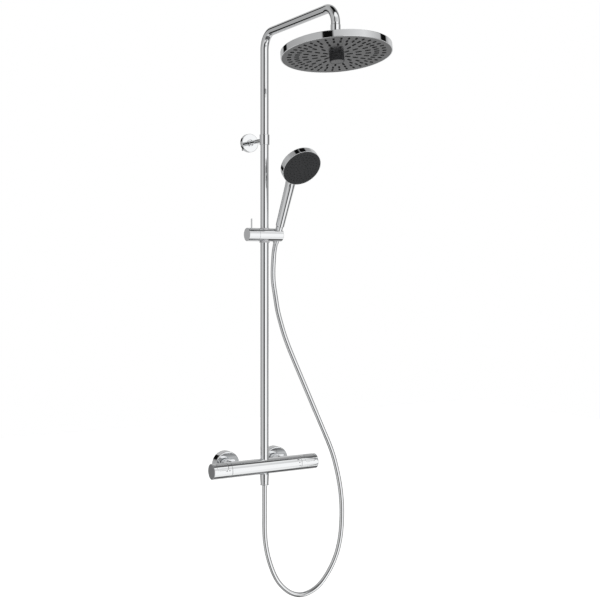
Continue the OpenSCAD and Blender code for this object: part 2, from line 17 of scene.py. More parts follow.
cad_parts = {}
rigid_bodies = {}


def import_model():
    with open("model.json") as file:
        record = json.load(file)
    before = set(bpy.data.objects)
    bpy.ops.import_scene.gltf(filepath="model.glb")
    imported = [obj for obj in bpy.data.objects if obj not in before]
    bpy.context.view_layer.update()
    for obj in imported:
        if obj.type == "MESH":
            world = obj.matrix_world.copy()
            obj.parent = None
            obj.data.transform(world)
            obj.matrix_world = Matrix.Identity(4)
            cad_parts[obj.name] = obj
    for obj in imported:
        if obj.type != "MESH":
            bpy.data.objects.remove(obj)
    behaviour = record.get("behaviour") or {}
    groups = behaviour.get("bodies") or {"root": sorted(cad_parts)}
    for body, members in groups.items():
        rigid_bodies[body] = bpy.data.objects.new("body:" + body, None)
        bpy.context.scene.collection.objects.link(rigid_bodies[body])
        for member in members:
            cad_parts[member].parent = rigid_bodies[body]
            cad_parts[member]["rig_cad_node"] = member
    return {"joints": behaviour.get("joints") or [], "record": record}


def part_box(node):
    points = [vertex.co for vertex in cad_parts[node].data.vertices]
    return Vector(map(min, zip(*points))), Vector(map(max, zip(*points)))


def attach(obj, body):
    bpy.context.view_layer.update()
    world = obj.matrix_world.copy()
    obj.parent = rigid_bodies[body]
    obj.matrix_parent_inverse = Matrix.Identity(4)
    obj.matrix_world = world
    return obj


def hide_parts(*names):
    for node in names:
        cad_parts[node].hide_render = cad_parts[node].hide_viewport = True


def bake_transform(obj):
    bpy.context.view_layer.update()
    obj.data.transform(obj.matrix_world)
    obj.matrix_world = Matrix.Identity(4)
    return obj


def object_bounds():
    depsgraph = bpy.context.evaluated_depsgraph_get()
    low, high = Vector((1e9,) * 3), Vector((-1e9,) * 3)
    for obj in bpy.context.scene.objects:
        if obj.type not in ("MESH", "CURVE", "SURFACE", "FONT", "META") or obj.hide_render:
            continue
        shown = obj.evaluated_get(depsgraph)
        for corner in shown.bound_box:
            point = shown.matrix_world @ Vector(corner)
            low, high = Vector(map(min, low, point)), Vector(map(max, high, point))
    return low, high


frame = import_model()
cad_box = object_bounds()
joints = {joint["name"]: joint for joint in frame["joints"]}
MM = 0.001
print("CAD box", cad_box)

# %% [markdown]
# ## Camera
# The object is seen from its front left at the height of the slider's lower half. The lens
# is long, so parallel edges stay nearly parallel. The camera stays level and the frame is
# shifted a little instead of tilting it, as view cameras do for buildings, so that upright
# tubes stay upright.

# %% Camera
VIEW_AZIMUTH = math.radians(30.63)
CAMERA_DISTANCE = 2.7706
CAMERA_SIDE = 0.0941
CAMERA_HEIGHT = 0.528
LENS_MM = 62.62
FRAME_SHIFT = -0.0547
FAR_CLIP = 60
AHEAD = Vector((math.sin(VIEW_AZIMUTH), math.cos(VIEW_AZIMUTH), 0))
RIGHT = Vector((math.cos(VIEW_AZIMUTH), -math.sin(VIEW_AZIMUTH), 0))


def centre(node):
    """The middle of a CAD node's box."""
    low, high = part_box(node)
    return (Vector(low) + Vector(high)) / 2


def add_camera():
    riser = centre("riser_tube")
    data = bpy.data.cameras.new("camera")
    camera = bpy.data.objects.new("camera", data)
    bpy.context.scene.collection.objects.link(camera)
    place = Vector((riser.x, riser.y, 0)) - CAMERA_DISTANCE * AHEAD + CAMERA_SIDE * RIGHT
    camera.location = (place.x, place.y, CAMERA_HEIGHT)
    camera.rotation_euler = AHEAD.to_track_quat("-Z", "Y").to_euler()
    data.lens = LENS_MM
    data.shift_y = FRAME_SHIFT
    data.clip_end = FAR_CLIP
    bpy.context.scene.camera = camera
    return camera


camera = add_camera()
print("camera at", [round(v, 3) for v in camera.location])

# %% [markdown]
# ## Rounded profiles
# Almost every piece here is turned or bent from tube. A turned piece is a profile spun
# about an axis. A Bevel modifier could round its edges afterwards, but it rounds them all
# alike. Here each corner of the profile names its own small arc, because a real edge is
# never sharp and its tiny highlight is what makes metal look like metal. Two extra points
# beside each arc keep smooth shading from bleeding across the flat faces next to it.

# %% Rounded profiles
ARC_STEPS = 5
SUPPORT = 0.35
LONGEST_REACH = 0.45


def rounded(corners, closed=False):
    """Turn (radius, height, fillet) corners in mm into a dense outline."""
    outline = []
    last = len(corners) - 1
    for i, corner in enumerate(corners):
        here = Vector(corner[:2])
        fillet = corner[2] if len(corner) > 2 else 0
        if fillet == 0 or (not closed and i in (0, last)):
            outline.append(here)
            continue
        before = Vector(corners[i - 1][:2]) - here
        after = Vector(corners[(i + 1) % (last + 1)][:2]) - here
        half = before.angle(after) / 2
        room = LONGEST_REACH * min(before.length, after.length)
        reach = min(fillet / math.tan(half), room)
        before.normalize()
        after.normalize()
        outline.append(here + before * reach * (1 + SUPPORT))
        for step in range(ARC_STEPS + 1):
            t = step / ARC_STEPS
            a = here + before * reach * (1 - t)
            b = here + after * reach * t
            outline.append(a.lerp(b, t))
        outline.append(here + after * reach * (1 + SUPPORT))
    return outline


def placing(origin, axis):
    """A matrix that stands local Z along axis, with its foot at origin, both in metres."""
    turn = Vector(axis).to_track_quat("Z", "Y").to_matrix().to_4x4()
    return Matrix.Translation(Vector(origin)) @ turn


print("a 10 by 5 corner becomes", len(rounded([(0, 5), (10, 5, 1), (10, 0)])), "points")

# %% [markdown]
# ## Turning
# `lathe` spins a profile about an axis. The Screw modifier does the same, but this way the
# quads go straight into a bmesh, so one piece can hold several turned shapes, and a ripple
# can be added to the radius where a piece is fluted.

# %% Lathe
ON_AXIS = 1e-6


def new_mesh():
    return bmesh.new()


def bridge(bm, ring, other):
    """Quads between two rings of vertices; a ring of one vertex is a pole."""
    count = max(len(ring), len(other))
    for k in range(count):
        n = (k + 1) % count
        if len(ring) == 1:
            bm.faces.new((ring[0], other[n], other[k]))
        elif len(other) == 1:
            bm.faces.new((ring[k], ring[n], other[0]))
        else:
            bm.faces.new((ring[k], ring[n], other[n], other[k]))


def lathe(bm, place, corners, sides=128, closed=False, ripple=None):
    """Spin a profile of (radius, height, fillet) corners in mm about local Z."""
    rings = []
    for point in rounded(corners, closed):
        if point.x < ON_AXIS:
            rings.append([bm.verts.new(place @ Vector((0, 0, point.y * MM)))])
            continue
        ring = []
        for k in range(sides):
            angle = 2 * math.pi * k / sides
            radius = point.x + (ripple(point, angle) if ripple else 0)
            spot = Vector((radius * math.cos(angle), radius * math.sin(angle), point.y))
            ring.append(bm.verts.new(place @ (spot * MM)))
        rings.append(ring)
    for ring, other in zip(rings, rings[1:] + (rings[:1] if closed else [])):
        bridge(bm, ring, other)


print("on its axis means nearer than", ON_AXIS, "mm")

# %% [markdown]
# ## Sweeping
# The arm and the hose are tubes along a path. A curve object with a bevel could make them,
# but it twists where the path turns in space, and its bends can't carry a changing radius
# exactly. `sweep` carries a round section along the points instead, and turns it as little
# as possible from one point to the next.

# %% Sweep


def path_frames(points):
    """At each point of a path: its direction and two directions square to it."""
    frames = []
    side = None
    for i, point in enumerate(points):
        ahead = points[min(i + 1, len(points) - 1)] - points[max(i - 1, 0)]
        ahead = ahead.normalized()
        side = ahead.orthogonal() if side is None else side - ahead * side.dot(ahead)
        side = side.normalized()
        frames.append((point, side, ahead.cross(side)))
    return frames


def sweep(bm, points, radii, sides=48, caps=True):
    """Carry a round section along points in metres; radii are (side, other) in metres."""
    rings = []
    for (point, a, b), (r_a, r_b) in zip(path_frames(points), radii):
        ring = []
        for k in range(sides):
            angle = 2 * math.pi * k / sides
            spot = point + a * r_a * math.cos(angle) + b * r_b * math.sin(angle)
            ring.append(bm.verts.new(spot))
        rings.append(ring)
    for ring, other in zip(rings, rings[1:]):
        bridge(bm, ring, other)
    if caps:
        bm.faces.new(list(reversed(rings[0])))
        bm.faces.new(rings[-1])


two_spots = [Vector((0, 0, 0)), Vector((0, 0, 1))]
print("a path of two points has", len(path_frames(two_spots)), "frames")

# %% [markdown]
# ## Smooth paths
# A path is given by a few points, and has to pass through every one of them without a
# kink. A Bezier curve would need handles as well. A cubic stretch between each two points,
# aimed by their neighbours, needs nothing but the points.

# %% Smooth path


def smooth_path(points, step):
    """A curve through points, by cubic stretches, with a point about every step metres."""
    path = []
    count = len(points)
    for i in range(count - 1):
        p0, p1 = points[max(i - 1, 0)], points[i]
        p2, p3 = points[i + 1], points[min(i + 2, count - 1)]
        pieces = max(1, round((p2 - p1).length / step))
        for n in range(pieces):
            t = n / pieces
            path.append(0.5 * (2 * p1 + (p2 - p0) * t + (2 * p0 - 5 * p1 + 4 * p2 - p3) * t ** 2
                               + (3 * p1 - p0 - 3 * p2 + p3) * t ** 3))
    path.append(points[-1].copy())
    return path


def path_length(points):
    return sum((b - a).length for a, b in zip(points, points[1:]))


print("a path 1 m long measures", path_length(smooth_path(two_spots, 0.1)))

# %% [markdown]
# ## From mesh to piece
# Each piece rides on the CAD body that it belongs to, hides the CAD nodes that it stands for,
# and takes its finish from one of the record's material slots. The slot's name is also the
# name of the Blender material, which is filled in later. Edges sharper than 32 degrees
# stay crisp and everything gentler is shaded smooth, which is done on the mesh itself
# because a modifier would have to be carried along with each piece.

# %% Making pieces
CREASE = math.radians(32)
materials = {}


def material_named(name):
    if name not in materials:
        material = bpy.data.materials.new(name)
        material.use_nodes = True
        materials[name] = material
    return materials[name]


def shade(obj):
    for face in obj.data.polygons:
        face.use_smooth = True
    obj.data.set_sharp_from_angle(angle=CREASE)


def to_object(bm, name, slot):
    bmesh.ops.recalc_face_normals(bm, faces=bm.faces)
    mesh = bpy.data.meshes.new(name)
    bm.to_mesh(mesh)
    bm.free()
    obj = bpy.data.objects.new(name, mesh)
    bpy.context.scene.collection.objects.link(obj)
    mesh.materials.append(material_named(slot))
    shade(obj)
    return obj


def piece(bm, name, body, slot, *nodes):
    """An object from bm that rides on body and stands for CAD nodes."""
    obj = to_object(bm, name, slot)
    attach(obj, body)
    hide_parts(*nodes)
    return obj


print("edges over", round(math.degrees(CREASE)), "degrees stay crisp")

# %% [markdown]
# ## Turned pieces and cuts
# Most pieces are one turned profile, so one helper makes them from start to end. Some have
# a hole or a window cut through them. An exact boolean does that cleanly on a curved wall,
# where moving vertices by hand would spoil the highlight. Its result is kept as the mesh,
# so no modifier and no cutter is left behind.

# %% Turned pieces and cuts


def turned(name, body, slot, node, place, *profiles, sides=128, closed=False):
    """A piece made of one or more spun profiles."""
    bm = new_mesh()
    for corners in profiles:
        lathe(bm, place, corners, sides, closed)
    return piece(bm, name, body, slot, node)


def cut(obj, cutter_bm):
    """Take the cutter's closed mesh out of obj, then shade it again."""
    bmesh.ops.recalc_face_normals(cutter_bm, faces=cutter_bm.faces)
    mesh = bpy.data.meshes.new("cutter")
    cutter_bm.to_mesh(mesh)
    cutter_bm.free()
    cutter = bpy.data.objects.new("cutter", mesh)
    bpy.context.scene.collection.objects.link(cutter)
    modifier = obj.modifiers.new("cut", "BOOLEAN")
    modifier.operation = "DIFFERENCE"
    modifier.solver = "EXACT"
    modifier.object = cutter
    bpy.context.view_layer.update()
    graph = bpy.context.evaluated_depsgraph_get()
    result = bpy.data.meshes.new_from_object(obj.evaluated_get(graph))
    obj.modifiers.remove(modifier)
    obj.data = result
    bpy.data.objects.remove(cutter)
    bpy.data.meshes.remove(mesh)
    shade(obj)


print("turning and cutting helpers are ready")

# %% [markdown]
# ## The hose's route
# A shower hose is one fixed length of tube that hangs between two fittings, so its route
# comes before its looks. A rope simulation could find a route, but the hose must lie where
# the CAD model's plain tube lies, so the points below are the ones that the tube follows.
# They start inside the nut that hangs in the handset's holder and end in the nut below
# the bar.

# %% The hose's route
HOSE_POINTS_MM = [
    (41, -71, 570), (42, -66, 550), (42, -63, 520), (43, -63, 488), (46, -68, 452),
    (50, -74, 412), (57, -80, 376), (65, -86, 343), (75, -92, 311), (87, -98, 278),
    (99, -104, 246), (111, -111, 213), (123, -117, 181), (135, -123, 149),
    (147, -130, 116), (159, -136, 84), (171, -142, 52), (181, -147, 20),
    (188, -152, -13), (193, -157, -46), (196, -161, -78), (197, -164, -110),
    (196, -166, -145), (193, -166, -185), (187, -164, -221), (178, -160, -253),
    (164, -155, -284), (146, -149, -312), (130, -143, -329), (114, -136, -340),
    (98, -129, -346), (82, -122, -346), (66, -115, -340), (51, -108, -328),
    (37, -102, -311), (25, -98, -288), (15, -95, -260), (7, -93, -229),
    (2, -92, -197), (0, -92, -164), (0, -92, -132), (0, -92, -100), (0, -92, -68),
]
INSIDE_NUT = -0.008
BELOW_NUT = -0.026

holder_axis = Vector(joints["handset_spin"]["axis"]).normalized()
holder_centre = Vector(joints["handset_spin"]["pos_m"])


def hose_points():
    """The route in metres, from inside the cone nut to the washer in the outlet nut."""
    points = [holder_centre + INSIDE_NUT * holder_axis, holder_centre + BELOW_NUT * holder_axis]
    points += [Vector(p) * MM for p in HOSE_POINTS_MM]
    points.append(Vector((0, centre("outlet_nut").y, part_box("outlet_washer")[0][2])))
    return points


route = hose_points()
print("the route has", len(route), "points and is about", round(path_length(route), 2), "m long")

# %% [markdown]
# ## The hose
# The real hose is a metal-look sleeve over a rubber core, with fine ribs that only show as
# a softer highlight. The ribs are in the mesh, because they are too coarse to be grain. The
# hose is cut in two behind the handset's holder: the short top stretch bends between the
# handset's nut and the slider, and the long one between the slider and the bar.

# %% Two stretches of hose
SPLIT_POINT = 6
HOSE_RADIUS = 0.0065
HOSE_SIDES = 24
RIB_HEIGHT = 0.00005
RIB_PITCH = 0.0032
RING_STEP = 0.0008


def hose_radii(path):
    """The tube's radius along a path, with a fine rib every few millimetres."""
    radii = []
    travelled = 0
    for i, point in enumerate(path):
        travelled += (point - path[i - 1]).length if i else 0
        phase = 2 * math.pi * travelled / RIB_PITCH
        radius = HOSE_RADIUS - RIB_HEIGHT + RIB_HEIGHT * math.cos(phase)
        radii.append((radius, radius))
    return radii


def hose_stretch(name, path, node):
    """One stretch of the hose, swept along its path."""
    bm = new_mesh()
    sweep(bm, path, hose_radii(path), sides=HOSE_SIDES)
    obj = to_object(bm, name, "hose_sheath")
    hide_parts(node)
    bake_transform(obj)
    print(name, "is", round(path_length(path), 3), "m long")
    return obj


full_path = smooth_path(route, RING_STEP)
split_at = min(range(len(full_path)), key=lambda i: (full_path[i] - route[SPLIT_POINT]).length)
upper_path = full_path[:split_at + 1]
lower_path = full_path[split_at:]
hose_stretch("hose_top", upper_path, "hose_upper")
hose_stretch("hose_long", lower_path, "hose_lower")

# %% [markdown]
# ## Sheets and cards of the studio
# Chrome has no colour of its own: it shows the room. A product studio puts bright sheets
# and dark cards round the object so that each tube gets a bright stripe with dark edges.
# Real planes would work, but each would need its own place and light. A world whose
# brightness depends on the direction does the same with a few numbers. LEVEL goes round
# the horizon in degrees from the camera's side, RIM does so a little above it, ABOVE and
# BELOW go from front to back overhead and underfoot, and STRIP darkens a part of the floor.

# %% Bright and dark stops
BLACK = 0.004
LEVEL_STOPS = [
    (-180, 0.52), (-142, 0.50), (-140, BLACK), (-125, BLACK), (-123, 0.40), (-75, 0.44),
    (-48, 0.68), (-30, 0.62), (-24, 0.09), (-16, 0.03), (4, 0.03), (10, 0.12), (15, 1.05),
    (64, 1.05), (76, 0.40), (103, 0.36), (105, BLACK), (123, BLACK), (125, 0.40),
    (138, 0.66), (180, 0.62),
]
RIM_STOPS = [
    (-180, 0.52), (-142, 0.50), (-140, BLACK), (-125, BLACK), (-123, 0.46), (-33, 0.50),
    (-30, BLACK), (-11, BLACK), (-7, 0.55), (60, 0.78), (103, 0.50), (105, BLACK),
    (123, BLACK), (125, 0.40), (138, 0.66), (180, 0.62),
]
ABOVE_STOPS = [
    (-0.44, 1.0), (-0.34, 0.05), (-0.20, 0.06), (0.02, 0.28), (0.40, 0.40), (0.80, 0.46),
]
BELOW_STOPS = [(-0.30, 0.97), (-0.12, 0.08), (0.34, 0.10), (0.55, 0.80)]
STRIP_STOPS = [(-60, 0.0), (-25, 0.20), (0, 0.75), (7, 1.0), (26, 1.0), (32, 0.0)]
RIM_FADE = (0.24, 0.34)
CEILING_FADE = (0.56, 0.72)
ZENITH_FADE = (0.90, 0.935)
GROUND_FADE = (-0.70, -0.56)
print("level ramp has", len(LEVEL_STOPS), "stops")

# %% [markdown]
# ## Helpers for node trees
# A node tree is easier to read when each sum is one call. These helpers make one node
# each, link what comes in, and hand back the socket that comes out. The world and every
# material use them.

# %% Ramps and sums


def value_ramp(tree, stops):
    """A colour ramp node from (position, grey) pairs, with positions from 0 to 1."""
    node = tree.nodes.new("ShaderNodeValToRGB")
    elements = node.color_ramp.elements
    while len(elements) > 1:
        elements.remove(elements[-1])
    for i, (position, grey) in enumerate(stops):
        element = elements[0] if i == 0 else elements.new(position)
        element.position = position
        element.color = (grey, grey, grey, 1)
    return node


def math_node(tree, operation, a, b=0.0):
    node = tree.nodes.new("ShaderNodeMath")
    node.operation = operation
    for socket, value in zip(node.inputs, (a, b)):
        if isinstance(value, bpy.types.NodeSocket):
            tree.links.new(value, socket)
        else:
            socket.default_value = value
    return node.outputs[0]


def dot_with(tree, vector, direction):
    node = tree.nodes.new("ShaderNodeVectorMath")
    node.operation = "DOT_PRODUCT"
    tree.links.new(vector, node.inputs[0])
    node.inputs[1].default_value = direction
    return node.outputs["Value"]


print("ramps and sums are ready")

# %% [markdown]
# ## Fades and mixes
# One zone has to pass into the next without an edge, or the chrome would show a seam. A
# fade with soft ends gives a share from 0 to 1, and a mix takes that much of the second
# value. Both are single nodes.

# %% Fades and mixes


def fade(tree, value, start, end, low, high):
    """Map value from start..end to low..high with soft ends."""
    node = tree.nodes.new("ShaderNodeMapRange")
    node.interpolation_type = "SMOOTHSTEP"
    tree.links.new(value, node.inputs["Value"])
    node.inputs["From Min"].default_value = start
    node.inputs["From Max"].default_value = end
    node.inputs["To Min"].default_value = low
    node.inputs["To Max"].default_value = high
    return node.outputs["Result"]


def mixed(tree, factor, a, b):
    node = tree.nodes.new("ShaderNodeMix")
    node.data_type = "FLOAT"
    for socket, value in zip(node.inputs[:1] + node.inputs[2:4], (factor, a, b)):
        if isinstance(value, bpy.types.NodeSocket):
            tree.links.new(value, socket)
        else:
            socket.default_value = value
    return node.outputs[0]


print("fades and mixes are ready")

# %% [markdown]
# ## The room
# The reflection's direction is split into a bearing round the horizon, a height and a
# depth from front to back. The ramps read those, and soft fades join one zone to the next.
# The camera itself sees plain white, because Light Path tells its rays apart.

# %% The room that the chrome reflects


def ramp_over(tree, value, reach, stops):
    """Greys along a value that runs from -reach to reach, from (value, grey) stops."""
    share = math_node(tree, "MULTIPLY_ADD", value, 0.5 / reach)
    share.node.inputs[2].default_value = 0.5
    ramp = value_ramp(tree, [(0.5 + 0.5 * at / reach, grey) for at, grey in stops])
    tree.links.new(share, ramp.inputs[0])
    return ramp.outputs[0]


def turn_stops(stops):
    return [(math.radians(angle), grey) for angle, grey in stops]


def build_room():
    world = bpy.data.worlds.new("studio room")
    bpy.context.scene.world = world
    world.use_nodes = True
    tree = world.node_tree
    look = tree.nodes.new("ShaderNodeTexCoord").outputs["Generated"]
    to_front = dot_with(tree, look, -AHEAD)
    to_right = dot_with(tree, look, RIGHT)
    bearing = math_node(tree, "ARCTAN2", to_right, to_front)
    height = dot_with(tree, look, (0, 0, 1))
    depth = dot_with(tree, look, (0, 1, 0))
    level = ramp_over(tree, bearing, math.pi, turn_stops(LEVEL_STOPS))
    rim = ramp_over(tree, bearing, math.pi, turn_stops(RIM_STOPS))
    strip = ramp_over(tree, bearing, math.pi, turn_stops(STRIP_STOPS))
    overhead = ramp_over(tree, depth, 1, ABOVE_STOPS)
    underfoot = ramp_over(tree, depth, 1, BELOW_STOPS)
    ceiling = mixed(tree, fade(tree, height, *ZENITH_FADE, 0, 1), overhead, BLACK)
    ground = mixed(tree, strip, underfoot, BLACK)
    raised = mixed(tree, fade(tree, height, *RIM_FADE, 0, 1), level, rim)
    above = mixed(tree, fade(tree, height, *CEILING_FADE, 0, 1), raised, ceiling)
    below = mixed(tree, fade(tree, height, *GROUND_FADE, 1, 0), above, ground)
    seen = tree.nodes.new("ShaderNodeLightPath").outputs["Is Camera Ray"]
    tree.links.new(mixed(tree, seen, below, 1.0), tree.nodes["Background"].inputs["Color"])
    return world


bpy.context.scene.view_settings.view_transform = "Standard"
room = build_room()
print("the room has", len(room.node_tree.nodes), "nodes")

# %% [markdown]
# ## Floor
# A pale floor lies below the object, well clear of the hose. It glows a little, so that it
# is as pale as the room, and only the camera sees it: a floor that showed in the chrome
# would undo the stripes.

# %% Floor
FLOOR_DROP = 0.35
FLOOR_HALF = 5.0
FLOOR_GREY = 0.8
FLOOR_GLOW = 0.75


def stage_floor():
    bm = new_mesh()
    bmesh.ops.create_grid(bm, x_segments=8, y_segments=8, size=FLOOR_HALF)
    mesh = bpy.data.meshes.new("studio_floor")
    bm.to_mesh(mesh)
    bm.free()
    floor = bpy.data.objects.new("studio_floor", mesh)
    bpy.context.scene.collection.objects.link(floor)
    floor.location.z = cad_box[0][2] - FLOOR_DROP
    pale = bpy.data.materials.new("pale_floor")
    pale.use_nodes = True
    shader = pale.node_tree.nodes["Principled BSDF"]
    shader.inputs["Base Color"].default_value = (FLOOR_GREY, FLOOR_GREY, FLOOR_GREY, 1)
    shader.inputs["Emission Color"].default_value = (1, 1, 1, 1)
    shader.inputs["Emission Strength"].default_value = FLOOR_GLOW
    mesh.materials.append(pale)
    floor.visible_glossy = False
    floor.visible_diffuse = False
    floor.visible_shadow = False
    return floor


stage_floor()
print("floor at", round(cad_box[0][2] - FLOOR_DROP, 3))

# %% [markdown]
# ## Soft light
# Two broad area lights shape the grey and black plastics, which are not mirrors. A sun
# would give hard shadows, and a point lamp a hot spot. The lamps are kept out of mirror
# reflections, where the room above already does the work.

# %% Lamps
KEY_WATTS = 22
KEY_SIZE = 1.6
FILL_WATTS = 10
FILL_SIZE = 2.0


def soft_lamp(name, spot, aim, size, watts):
    data = bpy.data.lights.new(name, "AREA")
    data.shape = "DISK"
    data.size = size
    data.energy = watts
    lamp = bpy.data.objects.new(name, data)
    bpy.context.scene.collection.objects.link(lamp)
    lamp.location = spot
    lamp.rotation_euler = (Vector(aim) - Vector(spot)).to_track_quat("-Z", "Y").to_euler()
    lamp.visible_glossy = False
    return lamp


middle = (Vector(cad_box[0]) + Vector(cad_box[1])) / 2
key_spot = middle - 1.5 * AHEAD + 1.8 * RIGHT + Vector((0, 0, 1.4))
fill_spot = middle - 1.8 * AHEAD - 1.6 * RIGHT + Vector((0, 0, -0.4))
soft_lamp("key_light", key_spot, middle, KEY_SIZE, KEY_WATTS)
soft_lamp("fill_light", fill_spot, middle, FILL_SIZE, FILL_WATTS)
print("lamps of", KEY_WATTS, "and", FILL_WATTS, "W")

# %% [markdown]
# ## Shared surface effects
# Every finish gets its small-scale detail from a node group with named sockets: the faint
# waves of polished plating, the grain of moulded plastic, and the rings that a lathe
# leaves. Each group hands out plain values, and the shader itself stays in the material.

# %% Node group helpers


def new_group(name, inputs, outputs):
    """An empty shader group with (name, type, default) inputs and named float outputs."""
    group = bpy.data.node_groups.new(name, "ShaderNodeTree")
    for label, kind, default in inputs:
        socket = group.interface.new_socket(label, in_out="INPUT", socket_type=kind)
        socket.default_value = default
    for label in outputs:
        group.interface.new_socket(label, in_out="OUTPUT", socket_type="NodeSocketFloat")
    return group, group.nodes.new("NodeGroupInput"), group.nodes.new("NodeGroupOutput")


def noise(tree, vector, scale, detail=2.0):
    node = tree.nodes.new("ShaderNodeTexNoise")
    node.inputs["Detail"].default_value = detail
    tree.links.new(vector, node.inputs["Vector"])
    if isinstance(scale, bpy.types.NodeSocket):
        tree.links.new(scale, node.inputs["Scale"])
    else:
        node.inputs["Scale"].default_value = scale
    return node.outputs["Fac"]


def object_place(tree):
    return tree.nodes.new("ShaderNodeTexCoord").outputs["Object"]


print("effects are placed by the object's own coordinates, in metres")

# %% [markdown]
# ## Polished plating
# Chrome plating shows the polishing under it: broad, shallow waves, and a haze of fine
# scratches that changes the gloss a little from place to place. A flat roughness looks
# like plastic foil. The haze and the waves drive the roughness, and the waves alone are
# handed out as a height.

# %% Group: polished plating
HAZE_RANGE = (0.35, 0.65)


def build_plating():
    """Broad waves under the plating and the fine haze that a polishing wheel leaves."""
    group, given, made = new_group(
        "polished_plating",
        [("Wave Scale", "NodeSocketFloat", 45.0), ("Haze Scale", "NodeSocketFloat", 700.0),
         ("Haze Low", "NodeSocketFloat", 0.03), ("Haze High", "NodeSocketFloat", 0.07)],
        ["Roughness", "Height"],
    )
    place = object_place(group)
    haze = noise(group, place, given.outputs["Haze Scale"], 4.0)
    broad = noise(group, place, given.outputs["Wave Scale"], 1.0)
    both = mixed(group, 0.5, haze, broad)
    node = group.nodes.new("ShaderNodeMapRange")
    group.links.new(both, node.inputs["Value"])
    node.inputs["From Min"].default_value = HAZE_RANGE[0]
    node.inputs["From Max"].default_value = HAZE_RANGE[1]
    group.links.new(given.outputs["Haze Low"], node.inputs["To Min"])
    group.links.new(given.outputs["Haze High"], node.inputs["To Max"])
    group.links.new(node.outputs["Result"], made.inputs["Roughness"])
    group.links.new(broad, made.inputs["Height"])
    return group


PLATING = build_plating()
print("group", PLATING.name, "has", len(PLATING.nodes), "nodes")

# %% [markdown]
# ## Moulded grain
# Plastic and rubber take the fine pebbled skin of their mould, and their tone drifts
# slowly. Noise alone looks cloudy and cells alone look like leather, so the height is half
# of each.

# %% Group: moulded grain


def build_grain():
    """The fine pebbled skin of moulded plastic or rubber, and its slow tone change."""
    group, given, made = new_group(
        "moulded_grain",
        [("Grain Scale", "NodeSocketFloat", 2600.0), ("Tone Scale", "NodeSocketFloat", 30.0)],
        ["Height", "Tone"],
    )
    place = object_place(group)
    cells = group.nodes.new("ShaderNodeTexVoronoi")
    group.links.new(place, cells.inputs["Vector"])
    group.links.new(given.outputs["Grain Scale"], cells.inputs["Scale"])
    fine = noise(group, place, given.outputs["Grain Scale"], 3.0)
    group.links.new(mixed(group, 0.5, cells.outputs["Distance"], fine), made.inputs["Height"])
    group.links.new(noise(group, place, given.outputs["Tone Scale"]), made.inputs["Tone"])
    return group


GRAIN = build_grain()
print("group", GRAIN.name, "has", len(GRAIN.nodes), "nodes")

# %% [markdown]
# ## Turned rings
# A lathe leaves fine rings on an end face, which spread a highlight into a fan. A wave
# texture is centred on the object's origin, and these faces are not, so the distance from
# the axis is worked out from a cross product and sent through a sine.

# %% Group: turned rings


def build_turned_rings():
    """Fine rings about an axis, as a cutting tool leaves on a turned end face."""
    group, given, made = new_group(
        "turned_rings",
        [("Centre", "NodeSocketVector", (0, 0, 0)), ("Axis", "NodeSocketVector", (1, 0, 0)),
         ("Ring Pitch", "NodeSocketFloat", 0.0004)],
        ["Height"],
    )
    offset = group.nodes.new("ShaderNodeVectorMath")
    offset.operation = "SUBTRACT"
    group.links.new(object_place(group), offset.inputs[0])
    group.links.new(given.outputs["Centre"], offset.inputs[1])
    across = group.nodes.new("ShaderNodeVectorMath")
    across.operation = "CROSS_PRODUCT"
    group.links.new(offset.outputs[0], across.inputs[0])
    group.links.new(given.outputs["Axis"], across.inputs[1])
    radius = group.nodes.new("ShaderNodeVectorMath")
    radius.operation = "LENGTH"
    group.links.new(across.outputs[0], radius.inputs[0])
    turns = math_node(group, "DIVIDE", radius.outputs["Value"], given.outputs["Ring Pitch"])
    wave = math_node(group, "SINE", math_node(group, "MULTIPLY", turns, 2 * math.pi))
    group.links.new(wave, made.inputs["Height"])
    return group


TURNED_RINGS = build_turned_rings()
print("group", TURNED_RINGS.name, "has", len(TURNED_RINGS.nodes), "nodes")

# %% [markdown]
# ## Helpers for finishes
# A finish is a shader with some fixed numbers, one of the groups above, and a bump. Fixed
# numbers go straight onto the shader's own sockets, where an exporter can read them, and
# only what varies over the surface comes from a group.

# %% Shader, group and bump
MICRON = 0.000001


def shader_of(name, color, metallic=0.0, roughness=0.3, **constants):
    """The material's shader with its fixed values set."""
    tree = material_named(name).node_tree
    shader = tree.nodes["Principled BSDF"]
    shader.inputs["Base Color"].default_value = (*color, 1)
    shader.inputs["Metallic"].default_value = metallic
    shader.inputs["Roughness"].default_value = roughness
    for label, value in constants.items():
        shader.inputs[label.replace("_", " ").title()].default_value = value
    return tree, shader


def use_group(tree, group, **values):
    node = tree.nodes.new("ShaderNodeGroup")
    node.node_tree = group
    for label, value in values.items():
        node.inputs[label.replace("_", " ").title()].default_value = value
    return node


def add_bump(tree, shader, height, depth):
    """Feed a height into the shader's normal; depth is the relief in metres."""
    node = tree.nodes.new("ShaderNodeBump")
    node.inputs["Strength"].default_value = 1.0
    node.inputs["Distance"].default_value = depth
    tree.links.new(height, node.inputs["Height"])
    tree.links.new(node.outputs["Normal"], shader.inputs["Normal"])


print("relief is given in steps of", MICRON, "m")

# %% [markdown]
# ## Kinds of finish
# There are three kinds: plated, moulded and turned. Each kind is one function that fills a
# material in, so that a finish below is one line of numbers.

# %% Plated, moulded and turned


def plated(name, color, low, high, waves):
    tree, shader = shader_of(name, color, metallic=1.0)
    detail = use_group(tree, PLATING, haze_low=low, haze_high=high)
    tree.links.new(detail.outputs["Roughness"], shader.inputs["Roughness"])
    add_bump(tree, shader, detail.outputs["Height"], waves)


